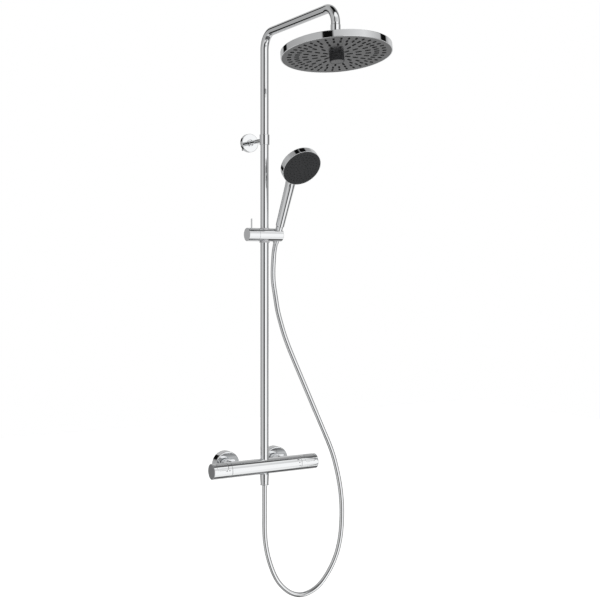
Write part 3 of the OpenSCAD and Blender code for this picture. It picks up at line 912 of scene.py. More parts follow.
def moulded(name, color, roughness, grain_depth, tone=0.12, **constants):
    tree, shader = shader_of(name, color, roughness=roughness, **constants)
    detail = use_group(tree, GRAIN)
    add_bump(tree, shader, detail.outputs["Height"], grain_depth)
    blend = tree.nodes.new("ShaderNodeMix")
    blend.data_type = "RGBA"
    tree.links.new(detail.outputs["Tone"], blend.inputs["Factor"])
    blend.inputs["A"].default_value = (*[c * (1 - tone) for c in color], 1)
    blend.inputs["B"].default_value = (*[c * (1 + tone) for c in color], 1)
    tree.links.new(blend.outputs["Result"], shader.inputs["Base Color"])


def turned_metal(name, color, roughness, node, axis, pitch, depth):
    tree, shader = shader_of(name, color, metallic=1.0, roughness=roughness)
    detail = use_group(tree, TURNED_RINGS, centre=centre(node), axis=axis, ring_pitch=pitch)
    add_bump(tree, shader, detail.outputs["Height"], depth)


print("plated, moulded and turned finishes are ready")

# %% [markdown]
# ## Finishes
# The plating is a full metal with a very low roughness, and the hose's sleeve is a shade
# paler. Brass and steel are duller, as they come from the machine. Plastics and rubbers
# are dark and only slightly glossy. The rain head's plate has a thin clear coat over the
# grey, because it gleams like lacquer and yet keeps its dark tone.

# %% Filling in the finishes
plated("chrome", (0.87, 0.88, 0.89), 0.025, 0.06, 4 * MICRON)
plated("hose_sheath", (0.88, 0.89, 0.90), 0.03, 0.07, 4 * MICRON)
plated("brass", (0.62, 0.44, 0.20), 0.22, 0.36, 10 * MICRON)
plated("steel", (0.52, 0.52, 0.53), 0.25, 0.40, 10 * MICRON)
turned_metal("satin_chrome", (0.62, 0.63, 0.64), 0.30, "temperature_cap", (1, 0, 0),
             pitch=0.0005, depth=3 * MICRON)
moulded("head_face_grey", (0.046, 0.047, 0.050), 0.28, 0.6 * MICRON,
        coat_weight=0.3, coat_roughness=0.10)
moulded("graphite_face", (0.026, 0.027, 0.029), 0.42, 6 * MICRON)
moulded("selector_dark", (0.040, 0.040, 0.043), 0.40, 5 * MICRON)
moulded("nozzle_rubber", (0.003, 0.003, 0.004), 0.75, 8 * MICRON)
moulded("seal_rubber", (0.02, 0.02, 0.02), 0.6, 10 * MICRON)
moulded("cartridge_plastic", (0.55, 0.42, 0.16), 0.4, 8 * MICRON)
moulded("white_plastic", (0.78, 0.78, 0.76), 0.38, 6 * MICRON)
moulded("grey_plastic", (0.52, 0.52, 0.53), 0.35, 6 * MICRON)
print(len(materials), "finishes")

# %% [markdown]
# ## Thermostat bar
# The bar is one bright tube of brass, chromed all over, with a turning handle at each end.
# Its two ends are recessed so that the handles seem to float on a thin dark line. A plain
# cylinder with a loop cut would show no such line, so the recess is part of the turned
# profile. A stub behind each inlet reaches for the wall, and is turned into the same mesh.

# %% Bar body


def mm_box(node):
    """A CAD node's lowest and highest corners in millimetres."""
    low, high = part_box(node)
    return Vector(low) / MM, Vector(high) / MM


bar_high = mm_box("valve_body")[1]
BAR_R = bar_high.z
BODY_HALF = bar_high.x
RECESS_R = 17.2
RECESS_DEPTH = 6
axis_point = Vector((0, centre("riser_tube").y, 0))
inlet_x = centre("rosette_right").x
right_end = placing(axis_point, (1, 0, 0))
left_end = placing(axis_point, (-1, 0, 0))
upright = placing(axis_point, (0, 0, 1))


def from_wall(x, z):
    """Stand local Z out of the wall at that place, in metres."""
    return placing((x, 0, z), (0, -1, 0))


def bar_body():
    bm = new_mesh()
    floor = BODY_HALF - RECESS_DEPTH
    lathe(bm, right_end,
          [(10, -floor), (RECESS_R, -floor), (RECESS_R, -BODY_HALF, 0.2),
           (BAR_R, -BODY_HALF, 0.6), (BAR_R, BODY_HALF, 0.6),
           (RECESS_R, BODY_HALF, 0.2), (RECESS_R, floor), (10, floor)], 192)
    for x in (-inlet_x, inlet_x):
        lathe(bm, from_wall(x, 0),
              [(8, 56), (8, 55), (12.8, 55, 0.3), (12.8, 58, 0.3), (11, 58, 0.2), (11, 84)], 64)
    return piece(bm, "bar_body", "column", "chrome", "valve_body")


bar_body()
print("bar radius", BAR_R, "half length", BODY_HALF)

# %% [markdown]
# ## Seams
# Between the bar and each handle is a gap with a plastic ring at its bottom. The ring is
# near black as painted shade for the gap: without it, light would pass through the gap and
# the line would vanish. It is a turned strip set just below the chrome.

# %% Seam rings
SEAM_HALF = 0.2
SEAM_LOW_R = 17.3
SEAM_HIGH_R = BAR_R - 0.7


def seam_shade_ring(name, place):
    """A dark ring deep in the gap between the bar and a handle, near black as painted shade for
    the gap.
    """
    bm = new_mesh()
    near, far = BODY_HALF - SEAM_HALF, BODY_HALF + SEAM_HALF
    lathe(bm, place,
          [(SEAM_LOW_R, near), (SEAM_HIGH_R, near), (SEAM_HIGH_R, far), (SEAM_LOW_R, far)], 128)
    return piece(bm, name, "column", "seal_rubber")


seam_shade_ring("left_seam_shade", left_end)
seam_shade_ring("right_seam_shade", right_end)
print("seams of", 2 * SEAM_HALF, "mm")

# %% [markdown]
# ## Rosettes and outlet nut
# Behind the bar, two deep round rosettes hide the holes in the wall. They are pressed from
# sheet, so their front edge is a soft round. Below the bar, a cone-shaped nut takes the
# hose. All three are turned, and their sizes come from the CAD nodes that they stand for.

# %% Rosettes and outlet nut
rosette_low, rosette_high = mm_box("rosette_right")
ROSETTE_R = rosette_high.z
ROSETTE_DEPTH = -rosette_low.y
for side, x in (("left", -inlet_x), ("right", inlet_x)):
    turned(f"rosette_{side}_cover", "column", "chrome", f"rosette_{side}", from_wall(x, 0),
           [(ROSETTE_R - 1.5, 0), (ROSETTE_R, 0, 0.3), (ROSETTE_R, ROSETTE_DEPTH, 2.2),
            (15.2, ROSETTE_DEPTH, 0.5), (15.2, ROSETTE_DEPTH - 3)], sides=160)
turned("outlet_coupling", "column", "chrome", "outlet_nut", upright,
       [(10.4, -21.2), (12, -21.2, 0.5), (10.7, -47.5, 0.3), (11.3, -48.1, 0.2),
        (11.3, -50, 0.6), (7, -50, 0.3), (7, -44)], sides=96)
print("rosettes", round(2 * ROSETTE_R), "mm across and", round(ROSETTE_DEPTH, 1), "mm deep")

# %% [markdown]
# ## The buttons' outline
# Each handle has a rounded-rectangle window with a curved button in it. The window's edge,
# the button's edge and the dark lining between them are one outline at three sizes, so one
# helper gives its points, and another lifts a point onto the bar along the line in which
# the button presses.

# %% Button outline
HANDLE_BORE = 18.2
BUTTON_LENGTH = 32
BUTTON_WIDTH = 22
BUTTON_CORNER = 5
BUTTON_GAP = 0.3
BUTTON_ANGLE = math.radians(45)
CORNER_STEPS = 8
SIDE_STEPS = 10
SMALLEST_CORNER = 0.8
handle_low, handle_high = mm_box("flow_handle")
BUTTON_MIDDLE = centre("eco_button").x / MM


def button_outline(grow):
    """Points of a rounded rectangle along the bar and across it, grown by grow in mm."""
    corner = max(BUTTON_CORNER + grow, SMALLEST_CORNER)
    half_l = BUTTON_LENGTH / 2 + grow
    half_w = BUTTON_WIDTH / 2 + grow
    outline = []
    for quarter, (x, w) in enumerate([(1, 1), (-1, 1), (-1, -1), (1, -1)]):
        for step in range(CORNER_STEPS + 1):
            angle = math.pi / 2 * (quarter + step / CORNER_STEPS)
            outline.append((x * (half_l - corner) + corner * math.cos(angle),
                            w * (half_w - corner) + corner * math.sin(angle)))
        nx, nw = [(-1, 1), (-1, -1), (1, -1), (1, 1)][quarter]
        start = outline[-1]
        angle = math.pi / 2 * (quarter + 1)
        end = (nx * (half_l - corner) + corner * math.cos(angle),
               nw * (half_w - corner) + corner * math.sin(angle))
        outline += [(start[0] + (end[0] - start[0]) * n / SIDE_STEPS,
                     start[1] + (end[1] - start[1]) * n / SIDE_STEPS)
                    for n in range(1, SIDE_STEPS)]
    return outline


def on_button(side, x, w, height):
    """A point in metres: x along the bar, w across the button, height along its press line."""
    across = Vector((0, math.cos(BUTTON_ANGLE), math.sin(BUTTON_ANGLE)))
    outward = Vector((0, -math.sin(BUTTON_ANGLE), math.cos(BUTTON_ANGLE)))
    along = Vector((side * (BUTTON_MIDDLE + x), 0, 0))
    return axis_point + (along + across * w + outward * height) * MM


print("an outline has", len(button_outline(0)), "points")

# %% [markdown]
# ## Handles
# Each handle is a hollow cup that turns on the bar's end. It is turned as one closed
# profile, and the window is cut through its wall with a boolean, straight along the line
# in which the button presses, as a milling cutter would.

# %% Handles
CUT_FROM = 8
CUT_TO = 30


def window_cutter(side):
    bm = new_mesh()
    outline = button_outline(BUTTON_GAP)
    rings = [[bm.verts.new(on_button(side, x, w, height)) for x, w in outline]
             for height in (CUT_FROM, CUT_TO)]
    bridge(bm, rings[0], rings[1])
    bm.faces.new(list(reversed(rings[0])))
    bm.faces.new(rings[1])
    return bm


def handle(name, body, node, side):
    place = right_end if side > 0 else left_end
    start, end = handle_low.x, handle_high.x
    obj = turned(name, body, "chrome", node, place,
                 [(HANDLE_BORE, start, 0.2), (BAR_R, start, 0.6), (BAR_R, end, 1.5),
                  (HANDLE_BORE, end, 0.3)], sides=192, closed=True)
    cut(obj, window_cutter(side))
    return obj


handle("temperature_grip", "temperature_control", "temperature_handle", -1)
handle("flow_grip", "flow_control", "flow_handle", 1)
print("handles from", round(handle_low.x, 1), "to", round(handle_high.x, 1), "mm")

# %% [markdown]
# ## Buttons
# A button frees the stop on the hot side or on the flow side when it is pressed. Its top
# has to follow the handle exactly and its edge carries a small rounding, so it is built
# ring by ring from its outline: down the edge first, then inward over the top. A short
# stem below it meets the stop.

# %% Buttons
BUTTON_SHRINK = 0.2
BUTTON_EDGE = [(0, 2.0), (0, 0.9), (0.08, 0.55), (0.25, 0.27), (0.5, 0.08), (0.9, 0), (1.4, 0)]
TOP_SHARES = (0.9, 0.78, 0.64, 0.48, 0.32, 0.16)
STEM_R = 3
STEM_FOOT = 11
STEM_TOP_GAP = 12.5


def crown(w):
    """The handle's height above the press line's start, w mm to the side."""
    return math.sqrt(BAR_R ** 2 - w * w)


def button(name, body, node, side):
    bm = new_mesh()
    rings = []
    for inset, drop in BUTTON_EDGE:
        rings.append([on_button(side, x, w, crown(w) - drop)
                      for x, w in button_outline(-BUTTON_SHRINK - inset)])
    inner = button_outline(-BUTTON_SHRINK - BUTTON_EDGE[-1][0])
    for share in TOP_SHARES:
        rings.append([on_button(side, x * share, w * share, crown(w * share)) for x, w in inner])
    vert_rings = [[bm.verts.new(point) for point in ring] for ring in rings]
    for ring, other in zip(vert_rings, vert_rings[1:]):
        bridge(bm, ring, other)
    bridge(bm, vert_rings[-1], [bm.verts.new(on_button(side, 0, 0, BAR_R))])
    press_line = (0, -math.sin(BUTTON_ANGLE), math.cos(BUTTON_ANGLE))
    lathe(bm, placing(on_button(side, 0, 0, STEM_FOOT), press_line),
          [(0, 0), (STEM_R, 0, 0.3), (STEM_R, BAR_R - STEM_TOP_GAP)], 32)
    return piece(bm, name, body, "chrome", node)


button("temperature_stop_button", "safety_stop", "safety_button", -1)
button("flow_stop_button", "eco_stop", "eco_button", 1)
print("buttons", BUTTON_LENGTH, "by", BUTTON_WIDTH, "mm")

# %% [markdown]
# ## Linings and end discs
# Low in the gap round each button lies a dark lining, which keeps water out. Its near black
# is also painted shade for the gap, and gives the button its thin outline. Each handle is
# closed by a turned metal disc, a hair below the rim, whose fine rings set it apart from the
# mirror round it.

# %% Linings and end discs
LINING = [(0.8, 1.1), (-0.15, 1.1), (-0.15, 1.7), (0.8, 1.7)]
DISC_SINK = 0.3
DISC_GAP = 0.1
DISC_DEPTH = 3.2


def button_lining_shade(name, body, side):
    """A dark lining low in the gap round a button, near black as painted shade for the gap."""
    bm = new_mesh()
    rings = []
    for grow, drop in LINING:
        rings.append([bm.verts.new(on_button(side, x, w, crown(w) - drop))
                      for x, w in button_outline(grow)])
    for ring, other in zip(rings, rings[1:] + rings[:1]):
        bridge(bm, ring, other)
    return piece(bm, name, body, "seal_rubber")


def end_cap(name, body, node, side):
    place = right_end if side > 0 else left_end
    end = handle_high.x - DISC_SINK
    radius = HANDLE_BORE - DISC_GAP
    return turned(name, body, "satin_chrome", node, place,
                  [(0, end), (radius, end, 0.4), (radius, end - DISC_DEPTH)], sides=128)


button_lining_shade("temperature_button_lining_shade", "temperature_control", -1)
end_cap("temperature_end_disc", "temperature_control", "temperature_cap", -1)
button_lining_shade("flow_button_lining_shade", "flow_control", 1)
end_cap("flow_end_disc", "flow_control", "flow_cap", 1)
print("end discs", round(2 * (HANDLE_BORE - DISC_GAP), 1), "mm across")

# %% [markdown]
# ## Printed marks
# Fittings like this carry small printed marks that show where to turn the handles. Plain
# ovals stand for them here, with no lettering. An image would need a file and UVs, so each
# mark is a thin patch that follows the bar a few hundredths of a millimetre above it.

# %% Printed marks
MARK_SIDES = 24
MARK_PROUD = 0.03
HANDLE_MARKS = [(-121, 5, 2.4, 0.9), (-113, 6, 2.4, 0.9)]
BODY_MARKS = [(94, 32, 3.6, 1.1), (97, 10, 1.5, 1.3), (98, -14, 1.5, 1.0)]


def marks(name, body, spots):
    """Small printed ovals on the bar: place along it, degrees above level, half sizes in mm."""
    bm = new_mesh()
    for x, lift, half_long, half_round in spots:
        def on_bar(u, w):
            angle = math.radians(lift) + w / BAR_R
            out = (BAR_R + MARK_PROUD) * MM
            spot = Vector(((x + u) * MM, -out * math.cos(angle), out * math.sin(angle)))
            return axis_point + spot

        ring = []
        for k in range(MARK_SIDES):
            a = 2 * math.pi * k / MARK_SIDES
            ring.append(bm.verts.new(on_bar(half_long * math.cos(a), half_round * math.sin(a))))
        bridge(bm, ring, [bm.verts.new(on_bar(0, 0))])
    return piece(bm, name, body, "selector_dark")


marks("handle_marks", "temperature_control", HANDLE_MARKS)
marks("body_marks", "column", BODY_MARKS)
print(len(HANDLE_MARKS) + len(BODY_MARKS), "marks")

# %% [markdown]
# ## Riser and collar
# The riser is a plain tube. A collar joins it to the swivelling arm, and a small grub screw
# at its back holds it. Both are turned, with edges rounded by a few tenths of a millimetre
# as a polisher leaves them, and the screw's hole is cut out of the collar.

# %% Riser and collar
riser_low, riser_high = mm_box("riser_tube")
collar_low, collar_high = mm_box("bracket_collar")
TUBE_R = riser_high.x
TUBE_WALL = 1.5
COLLAR_R = collar_high.x
COLLAR_BORE = TUBE_R + 0.1
GRUB_HOLE_R = 2.0
GRUB_HOLE_DEPTH = 12
GRUB_HOLE_X = -0.009

turned("riser", "column", "chrome", "riser_tube", upright,
       [(TUBE_R - TUBE_WALL, riser_low.z), (TUBE_R, riser_low.z, 0.3),
        (TUBE_R, riser_high.z, 0.3), (TUBE_R - TUBE_WALL, riser_high.z)], sides=128)
collar = turned("collar", "column", "chrome", "bracket_collar", upright,
                [(COLLAR_BORE, collar_low.z, 0.1), (COLLAR_R, collar_low.z, 0.8),
                 (COLLAR_R, collar_high.z, 0.8), (COLLAR_BORE, collar_high.z, 0.1)],
                sides=128, closed=True)
grub_hole = new_mesh()
grub_place = Vector((GRUB_HOLE_X, axis_point.y, centre("collar_grub_screw").z))
lathe(grub_hole, placing(grub_place, (-1, 0, 0)),
      [(0, 0), (GRUB_HOLE_R, 0), (GRUB_HOLE_R, GRUB_HOLE_DEPTH), (0, GRUB_HOLE_DEPTH)], 32)
cut(collar, grub_hole)
print("riser radius", TUBE_R, "collar radius", COLLAR_R)

# %% [markdown]
# ## Wall bracket
# A short rod holds the collar off the wall. Its foot is a small flange, and a flat rosette
# covers the plate that is screwed to the wall. The three share one axis, so each is turned
# about a line that comes straight out of the wall.

# %% Rod, flange and rosette
at_bracket = from_wall(0, centre("bracket_rod").z)
ROD_R = mm_box("bracket_rod")[1].x
rod_tip = -mm_box("bracket_rod")[0].y
turned("rod", "column", "chrome", "bracket_rod", at_bracket,
       [(0, rod_tip), (ROD_R, rod_tip, 0.3), (ROD_R, 10.3)], sides=96)
turned("rod_foot", "column", "chrome", "rod_flange", at_bracket,
       [(5.6, 11.1), (9, 11.1, 0.2), (9, 13.1, 0.5), (7, 14.3, 0.4), (5.6, 14.3)], sides=96)
plate_high = mm_box("bracket_rosette")[1]
PLATE_R = plate_high.x
turned("bracket_cover", "column", "chrome", "bracket_rosette", at_bracket,
       [(PLATE_R - 1.2, 0), (PLATE_R, 0, 0.2), (PLATE_R, 11, 1.4), (6, 11, 0.3), (6, 9.5)],
       sides=128)
print("rod radius", round(ROD_R, 1), "reaches", round(rod_tip, 1), "mm from the wall")

# %% [markdown]
# ## Swivel arm
# The arm is one tube bent twice. Bending a straight mesh would thin the bends, so a round
# section is swept along a centreline made of straights and true quarter circles instead.
# The foot is drawn in a little, as a filed edge is.

# %% Arm
arm_low, arm_high = mm_box("arm_tube")
arm_z = arm_high.z - TUBE_R
drop_y = arm_low.y + TUBE_R
BEND_R = 42
BEND_STEPS = 32
FOOT_STEPS = (0, 0.3, 1.0)
FOOT_INSETS = (0.3, 0.08)
FOOT_GAP = 0.6


def arm_line():
    """The arm's centreline in metres, from its foot in the collar to the end of its drop."""
    front, back = drop_y + BEND_R, axis_point.y / MM - BEND_R
    level = arm_z - BEND_R
    line = [(0, back + BEND_R, arm_low_end + step) for step in FOOT_STEPS]
    line += [(0, back + BEND_R, level - 2)]
    for step in range(BEND_STEPS + 1):
        angle = math.pi / 2 * step / BEND_STEPS
        line.append((0, back + BEND_R * math.cos(angle), level + BEND_R * math.sin(angle)))
    line += [(0, back - 2, arm_z), (0, front + 2, arm_z)]
    for step in range(BEND_STEPS + 1):
        angle = math.pi / 2 * step / BEND_STEPS
        line.append((0, front - BEND_R * math.sin(angle), level + BEND_R * math.cos(angle)))
    line += [(0, drop_y, level - 2), (0, drop_y, drop_end)]
    return [Vector(p) * MM for p in line]


arm_low_end = riser_high.z + FOOT_GAP
drop_end = mm_box("arm_washer")[1].z
centreline = arm_line()
arm_radii = [((TUBE_R - inset) * MM,) * 2 for inset in FOOT_INSETS]
arm_radii += [(TUBE_R * MM,) * 2] * (len(centreline) - 2)
arm_mesh = new_mesh()
sweep(arm_mesh, centreline, arm_radii, sides=128)
piece(arm_mesh, "arm", "arm", "chrome", "arm_tube")
print("arm", round(path_length(centreline), 3), "m of tube")

# %% [markdown]
# ## Drop nut and ball cap
# A nut under the arm's short drop holds the ball joint that the rain head hangs from. A dark
# washer at its top shows as a line; its near black is also painted shade for the gap there.
# The cap below grips the ball. It leans with the head, so its turning axis is the head's own
# and not upright.

# %% Nut, washer and ball cap
over_head = placing((0, drop_y * MM, 0), (0, 0, 1))
nut_low, nut_high = mm_box("arm_nut")
NUT_R = nut_high.x
turned("arm_drop_nut", "arm", "chrome", "arm_nut", over_head,
       [(9.6, nut_low.z), (NUT_R, nut_low.z, 0.7), (NUT_R, nut_high.z, 0.5),
        (TUBE_R + 0.05, nut_high.z, 0.1), (TUBE_R + 0.05, nut_high.z - 2)], sides=96)
SEAL_SHADE_R = 11.7
# This near-black ring is a washer and also painted shade for the gap at the nut's top.
seal = new_mesh()
seal_shade_low, seal_shade_high = nut_high.z - 0.3, nut_high.z + 0.5
lathe(seal, over_head,
      [(TUBE_R - 0.2, seal_shade_low), (SEAL_SHADE_R, seal_shade_low, 0.1), (SEAL_SHADE_R, seal_shade_high, 0.3),
       (TUBE_R - 0.2, seal_shade_high)], 96)
piece(seal, "arm_seal_shade", "arm", "seal_rubber")

head_axis = Vector(joints["head_spin"]["axis"]).normalized()
if head_axis.z < 0:
    head_axis = -head_axis
ball_centre = Vector(joints["head_spin"]["pos_m"])
on_ball = placing(ball_centre, head_axis)
turned("ball_cap", "head_roll", "chrome", "ball_collar", on_ball,
       [(14.15, -15.5), (17, -15.5, 0.5), (17, 4, 1.2), (14, 7, 0.8), (11.95, 7, 0.2), (13, 5)],
       sides=96)
print("ball at", [round(v, 3) for v in ball_centre])

# %% [markdown]
# ## Rain head
# The head is a shallow chromed tray with a glossy grey spray plate set into it. Both are
# turned about the ball's axis. They take many sides, because a wide flat disc shows every
# corner of its outline.

# %% Tray and spray plate
HEAD_R = mm_box("head_shell")[1].x
HEAD_BOTTOM = -33.7
HEAD_TOP = -17.4
PLATE_LEVEL = HEAD_BOTTOM + 0.4
RIM_WIDTH = 2.2
RIM_R = HEAD_R - RIM_WIDTH
SPRAY_PLATE_R = HEAD_R - 2.5

turned("head_tray", "head", "chrome", "head_shell", on_ball,
       [(8, -11), (8, -12.6), (14, -10.2, 0.4), (14, HEAD_TOP + 1, 1.2), (HEAD_R, HEAD_TOP, 1.6),
        (HEAD_R, HEAD_BOTTOM, 0.7), (RIM_R, HEAD_BOTTOM, 0.3), (RIM_R, -29)], sides=288)
turned("spray_plate", "head", "head_face_grey", "head_face", on_ball,
       [(9.4, -31.2), (9.4, PLATE_LEVEL, 0.3), (SPRAY_PLATE_R, PLATE_LEVEL, 0.3),
        (SPRAY_PLATE_R, -31.4)], sides=288)
print("head radius", HEAD_R, "mm")

# %% [markdown]
# ## Rubber pads
# Soft rubber pads stand a little proud of the plate in five rings, each carrying two or
# three jets that a thumb can rub clean. An array round a circle could copy one pad, but
# the rings differ in number and length. A loop writes them all into one mesh, as the real
# pads are moulded in one mat.

# %% Rubber pads
PAD_RINGS = [(31, 10, 15), (53, 16, 15), (75, 24, 14), (95, 40, 12.5), (113, 40, 10.5)]
PAD_HALF_WIDTH = 2.5
PAD_RISE = 0.6
JET_RISE = 1.2
END_STEPS = 6
PAD_EDGE = [(0, 0.6), (0, -PAD_RISE + 0.25), (0.08, -PAD_RISE + 0.08), (0.3, -PAD_RISE)]
LONG_PAD = 10
JET_PROFILE = [(1.15, -PAD_RISE + 0.1), (0.85, -JET_RISE, 0.15), (0.4, -JET_RISE), (0.35, -0.5),
               (0, -0.5)]


def pad(bm, place, ring_radius, angle, length):
    """One pad: a rounded bar that points outward, with jets along it."""
    turn = place @ Matrix.Rotation(angle, 4, "Z")
    rings = []
    for inset, level in PAD_EDGE:
        radius = PAD_HALF_WIDTH - inset
        reach = length / 2 - PAD_HALF_WIDTH
        ring = []
        for end, first in ((1, -math.pi / 2), (-1, math.pi / 2)):
            for step in range(END_STEPS + 1):
                a = first + math.pi * step / END_STEPS
                spot = Vector((ring_radius + end * reach + radius * math.cos(a),
                               radius * math.sin(a), PLATE_LEVEL + level))
                ring.append(bm.verts.new(turn @ (spot * MM)))
        rings.append(ring)
    for ring, other in zip(rings, rings[1:]):
        bridge(bm, ring, other)
    bm.faces.new(rings[-1])
    jets = 3 if length > LONG_PAD else 2
    for n in range(jets):
        x = ring_radius + (n - (jets - 1) / 2) * (length - 4) / (jets - 1 + 0.4)
        at_jet = turn @ Matrix.Translation(Vector((x, 0, PLATE_LEVEL)) * MM)
        lathe(bm, at_jet, JET_PROFILE, 12)


pads = new_mesh()
for ring_radius, count, length in PAD_RINGS:
    for i in range(count):
        pad(pads, on_ball, ring_radius, 2 * math.pi * i / count, length)
piece(pads, "rain_pads", "head", "nozzle_rubber", "nozzle_mat")
print(sum(count for _, count, _ in PAD_RINGS), "pads")

# %% [markdown]
# ## Selector knob
# A ribbed knob in the middle of the head picks the spray. Ribs could be an array of small
# cylinders joined on, but a real knob is moulded with smooth flutes, so a ripple shrinks
# the turned radius between the ribs and fades out near the knob's ends.

# %% Selector knob
KNOB_R = 17.75
BEZEL_R = 15.2
KNOB_HEIGHT = 16
RIBS = 36
RIB_DEPTH = 0.9
SIDE_PIECES = 12
SIDE_HEIGHT = 14.4
knob_end = HEAD_BOTTOM - KNOB_HEIGHT


def knob_ribs(point, angle):
    """Flutes round the knob's side, fading out near both ends."""
    if point.x < KNOB_R - 1.2:
        return 0
    share = min(1, max(0, (point.y - knob_end - 0.6) / 1.2))
    share *= min(1, max(0, (HEAD_BOTTOM - 0.4 - point.y) / 0.8))
    return -RIB_DEPTH * share * (0.5 - 0.5 * math.cos(RIBS * angle)) ** 1.5


knob = new_mesh()
side_levels = [(KNOB_R, knob_end + 0.6 + SIDE_HEIGHT * n / SIDE_PIECES)
               for n in range(1, SIDE_PIECES)]
lathe(knob, on_ball,
      [(BEZEL_R, knob_end + 0.5), (BEZEL_R, knob_end, 0.2), (KNOB_R, knob_end, 0.9), *side_levels,
       (KNOB_R, HEAD_BOTTOM - 0.2, 0.2), (9.1, HEAD_BOTTOM - 0.2)], RIBS * 10, ripple=knob_ribs)
piece(knob, "spray_selector", "selector", "selector_dark", "selector_knob")
print(RIBS, "ribs on the knob")

# %% [markdown]
# ## Selector's disc
# The knob's end is a grey disc with a ring of fine jets round a shallow groove. It is a
# piece of its own, because its finish is the plate's and not the knob's.

# %% Selector's disc
DISC_R = 15.1
DISC_LEVEL = knob_end + 0.15
DISC_JETS = 18
DISC_JET_RING = 12.2
disc = new_mesh()
lathe(disc, on_ball,
      [(0, DISC_LEVEL), (4, DISC_LEVEL, 0.2), (4.4, knob_end + 0.4, 0.2), (4.8, DISC_LEVEL, 0.2),
       (DISC_R, DISC_LEVEL, 0.3), (DISC_R, knob_end + 0.6)], 96)
for i in range(DISC_JETS):
    spin = on_ball @ Matrix.Rotation(2 * math.pi * i / DISC_JETS, 4, "Z")
    at_jet = spin @ Matrix.Translation(Vector((DISC_JET_RING, 0, 0)) * MM)
    lathe(disc, at_jet,
          [(0.9, knob_end + 0.2), (0.7, knob_end, 0.1), (0.3, knob_end), (0, DISC_LEVEL)], 12)
piece(disc, "selector_disc", "selector", "head_face_grey")
print(DISC_JETS, "jets on the disc")

# %% [markdown]
# ## Slider and holder
# One short bar grips the riser and carries the holder. Three holes are cut through it: one
# for the riser, a tapered one for the handset's cone, and a slot beside it that lets the
# hose swing in. Cutting them one by one keeps each edge crisp.

# %% Slider bar with its cuts
slider_low, slider_high = mm_box("slider_body")
SLIDER_R = (slider_high.z - slider_low.z) / 2
slider_centre = Vector((0, axis_point.y, centre("slider_body").z))
along_slider = placing(slider_centre, (1, 0, 0))
in_holder = placing(holder_centre, holder_axis)
HOLDER_LOW_R = 8.0
HOLDER_HIGH_R = 10.1
SLOT_HALF = 7.2
RISER_HOLE_R = 12.55
CUT_REACH = 30
HOLDER_REACH = 25
SLOT_REACH = 40

slider = turned("slider_bar", "slider", "chrome", "slider_body", along_slider,
                [(0, slider_low.x), (SLIDER_R, slider_low.x, 0.2), (SLIDER_R, slider_high.x, 0.9),
                 (0, slider_high.x)], sides=192)
riser_hole = new_mesh()
lathe(riser_hole, placing(slider_centre, (0, 0, 1)),
      [(0, -CUT_REACH), (RISER_HOLE_R, -CUT_REACH), (RISER_HOLE_R, CUT_REACH), (0, CUT_REACH)], 96)
cut(slider, riser_hole)
holder_hole = new_mesh()
lathe(holder_hole, in_holder,
      [(0, -HOLDER_REACH), (HOLDER_LOW_R, -HOLDER_REACH), (HOLDER_HIGH_R, HOLDER_REACH),
       (0, HOLDER_REACH)], 96)
cut(slider, holder_hole)
slot_box = new_mesh()
bmesh.ops.create_cube(slot_box, size=1.0)
hose_side = Vector((1, 0, 0))
slot_y = holder_axis.cross(hose_side)
for vert in slot_box.verts:
    x, y, z = vert.co.x + 0.5, vert.co.y * 2, vert.co.z * 2
    spot = hose_side * SLOT_REACH * x + slot_y * SLOT_HALF * y + holder_axis * SLOT_REACH * z
    vert.co = holder_centre + spot * MM
cut(slider, slot_box)
print("slider radius", SLIDER_R, "faces", len(slider.data.polygons))

# %% [markdown]
# ## Clamp knob, lever and cone nut
# The slider's left end is a clamp knob with a thin lever, which shows by its angle whether
# the clamp is shut. The knob is as thick as the slider, so only a fine seam tells them
# apart. The nut on the hose's end is a long cone that sits in the holder's tapered hole.

# %% Clamp knob, lever and cone nut
KNOB_SEAM = 0.3
PEG_R = 3
PEG_LENGTH = 1.6
LEVER_DOME = 0.9
knob_low = mm_box("clamp_knob")[0]
knob_face = slider_low.x - KNOB_SEAM
peg_end = slider_low.x + PEG_LENGTH
turned("clamp_grip", "clamp", "chrome", "clamp_knob", along_slider,
       [(0, knob_low.x), (SLIDER_R, knob_low.x, 1.0), (SLIDER_R, knob_face, 0.2),
        (PEG_R, knob_face, 0.2), (PEG_R, peg_end, 0.2), (0, peg_end)], sides=160)
lever_low, lever_high = mm_box("clamp_lever")
LEVER_R = (lever_high.x - lever_low.x) / 2
on_lever = placing((centre("clamp_lever").x, axis_point.y, 0), (0, 0, 1))
turned("lever", "clamp", "chrome", "clamp_lever", on_lever,
       [(0, lever_low.z), (LEVER_R, lever_low.z), (LEVER_R, lever_high.z, LEVER_DOME * LEVER_R),
        (0, lever_high.z)], sides=32)
turned("handset_cone", "hose_end", "chrome", "cone_nut", in_holder,
       [(6.8, -18), (6.8, -24, 0.2), (7.75, -24, 0.5), (9.65, 20, 0.2), (9.9, 26.5, 0.2),
        (9.5, 27, 0.2), (8.4, 27, 0.1), (8.4, 20)], sides=96)
print("lever top", round(lever_high.z, 1))

# %% [markdown]
# ## Handset's place
# The handset leans with the holder's axis, and its spray face is turned forward from that.
# Both directions are worked out once here, so that the handle and the head agree.

# %% Where the face is
FACE_ALONG = 207.6
FACE_FORWARD = 37.4
FACE_TURN = math.radians(76.5)
across_holder = holder_axis.cross(Vector((1, 0, 0))).normalized()
if across_holder.y < 0:
    across_holder = -across_holder
face_centre = holder_centre + (holder_axis * FACE_ALONG - across_holder * FACE_FORWARD) * MM
face_back = (holder_axis * math.cos(FACE_TURN) + across_holder * math.sin(FACE_TURN)).normalized()
on_face = placing(face_centre, face_back)
print("handset face at", [round(v, 3) for v in face_centre])
